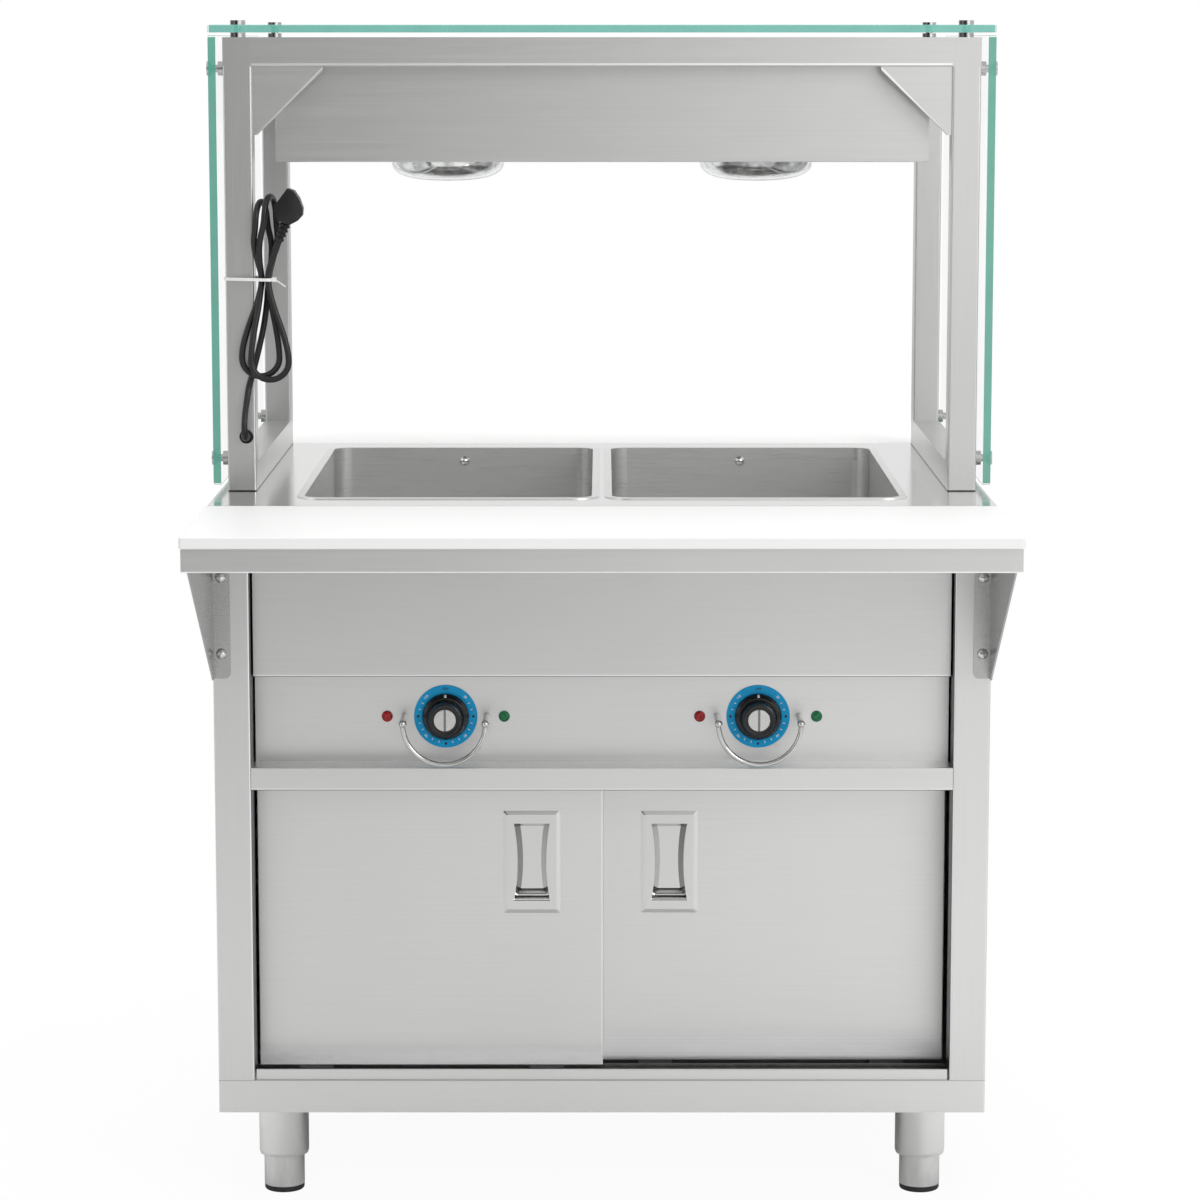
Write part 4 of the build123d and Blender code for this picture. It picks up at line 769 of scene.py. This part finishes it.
neckProfile = [(0, -0.0005), (0.0038, -0.0005)]
for rib in range(plug["ribs"]):
    low = 0.0004 + rib * plug["ribPitch"]
    wide = 0.0048 + rib * plug["ribGrowth"]
    neckProfile += [(wide - 0.0009, low), (wide, low + 0.0005), (wide, low + 0.0022),
                    (wide - 0.0009, low + 0.0028), (wide - 0.0014, low + 0.0034),
                    (wide - 0.0013, low + 0.0044)]
neckProfile += [(0.0056, 0.0210), (0.0070, 0.0245), (0, 0.0260)]
neck = turned("plugNeck", neckProfile, 40)
putAt(neck, (0, 0, -plug["neck"]))
plugHead = joined([head, neck], "plugHead")
smooth(plugHead, 40)
plugHead.matrix_world = Matrix.Translation(neckEnd) @ plugFrame
settle(plugHead)
paint(plugHead, plugBlack)
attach(plugHead, "cabinet")
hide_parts("plug")

pins = {"length": 0.018, "height": 0.0065, "thick": 0.0016, "spread": 0.00635, "drop": -0.0115,
        # the pins' middle on the plug: sunk into its face, along it and across it
        "sunk": 0.0002, "along": 0.0145, "across": 0.0015}
pinParts = []
for side in (-1, 1):
    deselectAll()
    bpy.ops.mesh.primitive_cube_add(size=1, location=(side * pins["spread"], pins["length"] / 2, 0))
    blade = newest("plugBlade")
    blade.scale = (pins["thick"], pins["length"], pins["height"])
    settle(blade)
    rounded(blade, 0.0004, 2)
    pinParts.append(blade)
ground = turned("groundPin", [(0, 0), (0.0024, 0), (0.0024, 0.0190), (0.0021, 0.0202), (0.0013, 0.0208),
                              (0, 0.0210)], 28)
putAt(ground, (0, 0, pins["drop"]), (radians(-90), 0, 0))
pinParts.append(ground)
plugPins = joined(pinParts, "plugPins")
smooth(plugPins, 30)
pinCentre = neckEnd + plug["run"] * pins["along"] + acrossPlug * pins["across"]
pinCentre += Vector((0, plug["depth"] / 2 - pins["sunk"], 0))
plugPins.matrix_world = Matrix.Translation(pinCentre) @ plugFrame
settle(plugPins)
paint(plugPins, insertSteel)
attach(plugPins, "cabinet")
print("plug modelled")

# cup lips: two polished rolls across the bottom of each pull
lip = {  # in mm: half the cup's waist, how its sides curve and taper, how far its plate stands out
       "waist": 15.25, "curve": 463, "taper": 0.364, "plate": 1.5, "overlap": 0.3,
       # depth behind the door's face and height from the pull's middle
       "profile": [(-1.0, -41.6), (-0.9, -41.1), (-0.4, -40.1), (0.6, -39.1), (2.0, -38.4), (3.4, -38.2),
                   (4.4, -38.4), (5.0, -38.8), (5.3, -38.4), (5.8, -37.2), (6.8, -35.9), (8.4, -34.5),
                   (10.4, -33.2), (12.4, -32.2), (14.2, -31.4), (14.3, -36.3), (5.0, -39.7)]}


def cupHalf(depth, height):
    # half the cup's width there, a little into its wall
    wide = lip["waist"] + height * height / lip["curve"]
    return (wide - lip["taper"] * (depth + lip["plate"]) + lip["overlap"]) / 1000


for sideName in sides:
    pullMiddle = (corners("pull_" + sideName)[0] + corners("pull_" + sideName)[1]) / 2
    deselectAll()
    bpy.ops.mesh.primitive_circle_add(vertices=len(lip["profile"]), radius=0.01, fill_type="NGON",
                                      location=(0, 0, 0))
    rolls = newest("pullLip_" + sideName)
    for vertex, (depth, height) in zip(rolls.data.vertices, lip["profile"]):
        vertex.co = (cupHalf(depth, height), depth / 1000, height / 1000)
    bpy.ops.object.mode_set(mode="EDIT")
    bpy.ops.mesh.select_all(action="SELECT")
    bpy.ops.mesh.extrude_region_move(TRANSFORM_OT_translate={"value": (-0.1, 0, 0)})
    bpy.ops.object.mode_set(mode="OBJECT")
    for vertex in rolls.data.vertices:
        if vertex.co.x < 0:
            vertex.co.x = -cupHalf(vertex.co.y * 1000, vertex.co.z * 1000)
    bpy.ops.object.mode_set(mode="EDIT")
    bpy.ops.mesh.select_all(action="SELECT")
    bpy.ops.mesh.normals_make_consistent(inside=False)
    bpy.ops.object.mode_set(mode="OBJECT")
    putAt(rolls, (pullMiddle.x, corners("door_" + sideName)[0].y, pullMiddle.z))
    smooth(rolls, 50)
    # dark lines across the rolls are painted shade: at the top, in the crease between the two rolls, and
    # along the bottom edge
    paint(rolls, brushedSteel("lipSteel_" + sideName, (60, 60, 60), tone=0.96, spread=0.01, rough=0.16,
                              bump=0.01, lines=[beside("Z", pullMiddle.z, -32.6, -30.5, 0.30),
                                                beside("Z", pullMiddle.z, -38.7, -37.3, 0.06),
                                                beside("Z", pullMiddle.z, -41.7, -40.7, 0.08)]))
    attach(rolls, "door_" + sideName)
print("pull lips modelled")

# knobs: a glossy skirt, a grip on it, and a white pointer
knob = {"x": 0.164, "z": 0.5152, "back": -0.245, "pointer": (0.0024, 0.0008, 0.0050), "pointerOut": 0.0082,
        "pointerRise": 0.0227, "pointerTurn": -65.5}
knobProfile = [(0, 0), (0.0238, 0), (0.0243, 0.0003), (0.0245, 0.0009), (0.0245, 0.0038), (0.0243, 0.0046),
               (0.0239, 0.0054), (0.0219, 0.0098), (0.0215, 0.0105), (0.0208, 0.0109), (0.0200, 0.0110),
               (0.0187, 0.0110), (0.0183, 0.0107), (0.0180, 0.0108), (0.0179, 0.0116), (0.0171, 0.0236),
               (0.0168, 0.0245), (0.0160, 0.0249), (0.0150, 0.0250), (0.0142, 0.0247), (0.0134, 0.0246),
               (0.0124, 0.0248), (0.0117, 0.0247), (0.0116, 0.0236), (0, 0.0236)]
for sideName, side in sides.items():
    shell = turned("knobShell_" + sideName, knobProfile, 96)
    putAt(shell, (side * knob["x"], knob["back"], knob["z"]), (radians(90), 0, 0))
    smooth(shell, 40)
    paint(shell, knobBlack)
    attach(shell, "knob_" + sideName)
    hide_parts("knob_" + sideName)
    # pointer: a bar let into the skirt's slope
    deselectAll()
    bpy.ops.mesh.primitive_cube_add(size=1, location=(0, 0, 0))
    pointer = newest("knobPointer_" + sideName)
    pointer.scale = knob["pointer"]
    settle(pointer)
    rounded(pointer, 0.0003, 3)
    putAt(pointer, (side * knob["x"], knob["back"] - knob["pointerOut"], knob["z"] + knob["pointerRise"]),
          (radians(knob["pointerTurn"]), 0, 0))
    smooth(pointer, 30)
    paint(pointer, markWhite)
    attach(pointer, "knob_" + sideName)
print("knobs modelled")

# dial marks: OFF, four numbers, dots at the quarters and ticks between them
marks = {"radius": 0.0290, "face": -0.24452, "thick": 0.00012, "offHigh": 0.0038, "numberHigh": 0.0036,
         "dotRadius": 0.0014, "tickWide": 0.0007, "tickLong": 0.0024, "tickIn": 0.0010,
         # each at its angle clockwise from the top
         "numbers": {45: "30", 135: "60", 225: "90", 315: "110"}, "dots": (90, 180, 270),
         "ticks": (60, 75, 105, 120, 150, 165, 195, 210, 240, 255, 285, 300)}


def wordMesh(word, size):
    deselectAll()
    bpy.ops.object.text_add(location=(0, 0, 0))
    text = bpy.context.object
    text.data.body = word
    text.data.size = size
    text.data.extrude = marks["thick"]
    text.data.offset = size * 0.012
    text.data.align_x = "CENTER"
    text.data.align_y = "CENTER"
    bpy.ops.object.convert(target="MESH")
    return bpy.context.object


def onDial(obj, angle, radius, side):
    # upright on the ring at an angle clockwise from the top
    spot = Matrix.Translation((side * knob["x"], marks["face"], knob["z"]))
    spot = spot @ Matrix.Rotation(radians(90), 4, "X") @ Matrix.Rotation(radians(-angle), 4, "Z")
    obj.matrix_world = spot @ Matrix.Translation((0, radius, 0))
    settle(obj)


for sideName, side in sides.items():
    blackParts, whiteParts = [], []
    off = wordMesh("OFF", marks["offHigh"])
    onDial(off, 0, marks["radius"] + 0.0001, side)
    blackParts.append(off)
    for angle in marks["dots"]:
        deselectAll()
        bpy.ops.mesh.primitive_cylinder_add(vertices=24, radius=marks["dotRadius"], depth=2 * marks["thick"],
                                            location=(0, 0, 0))
        dot = bpy.context.object
        onDial(dot, angle, marks["radius"], side)
        blackParts.append(dot)
    for angle, word in marks["numbers"].items():
        number = wordMesh(word, marks["numberHigh"])
        onDial(number, angle, marks["radius"], side)
        whiteParts.append(number)
    for angle in marks["ticks"]:
        deselectAll()
        bpy.ops.mesh.primitive_cube_add(size=1, location=(0, 0, 0))
        tick = bpy.context.object
        tick.scale = (marks["tickWide"], marks["tickLong"], 2 * marks["thick"])
        settle(tick)
        onDial(tick, angle, marks["radius"] - marks["tickIn"], side)
        whiteParts.append(tick)
    darkMarks = joined(blackParts, "dialDarkMarks_" + sideName)
    lightMarks = joined(whiteParts, "dialLightMarks_" + sideName)
    paint(darkMarks, knobBlack)
    paint(lightMarks, markWhite)
    for obj in (darkMarks, lightMarks):
        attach(obj, "cabinet")
print("dials marked")

# heat lamps: clear blown glass, silvered inside, with a screw cap
bulb = {"x": 0.1705, "y": 0.064, "bottom": 1.064, "wall": 0.0016, "threads": 6, "threadPitch": 0.0035}
glassProfile = [(0, 0), (0.012, 0.0002), (0.024, 0.0009), (0.036, 0.0023), (0.046, 0.0045), (0.0531, 0.0075),
                (0.0580, 0.0110), (0.0610, 0.0148), (0.0623, 0.0190), (0.0624, 0.0240), (0.0612, 0.0300),
                (0.0585, 0.0350), (0.0545, 0.0400), (0.0380, 0.0650), (0.0260, 0.0850), (0.0205, 0.0960),
                (0.0186, 0.1040), (0.0183, 0.1110)]
silverProfile = [(0.0250, 0.0029), (0.0330, 0.0038), (0.0400, 0.0052), (0.0450, 0.0068), (0.0505, 0.0096),
                 (0.0548, 0.0135), (0.0575, 0.0185), (0.0583, 0.0240), (0.0575, 0.0295), (0.0552, 0.0345),
                 (0.0515, 0.0395), (0.0355, 0.0645), (0.0235, 0.0845), (0.0180, 0.0955), (0.0160, 0.1030),
                 (0, 0.1040)]
heaterProfile = [(0, 0.040), (0.0060, 0.041), (0.0075, 0.046), (0.0070, 0.052), (0.0045, 0.056),
                 (0.0040, 0.100), (0, 0.101)]
capProfile = [(0, 0.1080), (0.0133, 0.1090)]
for thread in range(bulb["threads"]):
    low = 0.1110 + thread * bulb["threadPitch"]
    capProfile += [(0.0124, low), (0.0133, low + 0.0009), (0.0133, low + 0.0018), (0.0124, low + 0.0027)]
capProfile += [(0.0120, 0.1325), (0.0080, 0.1340), (0.0045, 0.1346), (0.0040, 0.1360), (0, 0.1360)]
for sideName, side in sides.items():
    centre = (side * bulb["x"], bulb["y"], bulb["bottom"])
    envelope = turned("bulbGlass_" + sideName, glassProfile, 80)
    wall = envelope.modifiers.new("wall", "SOLIDIFY")
    wall.thickness = bulb["wall"]
    wall.offset = -1
    applyAll(envelope)
    silver = turned("bulbSilver_" + sideName, silverProfile, 80)
    screw = turned("bulbCap_" + sideName, capProfile, 48)
    heater = turned("bulbHeater_" + sideName, heaterProfile, 32)
    for obj, angle, finish in ((envelope, 60, bulbGlass), (silver, 60, bulbMirror), (screw, 50, insertSteel),
                               (heater, 50, bulbMirror)):
        putAt(obj, centre)
        smooth(obj, angle)
        paint(obj, finish)
        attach(obj, "cabinet")
    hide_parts("heat_lamps")
print("heat lamps modelled")
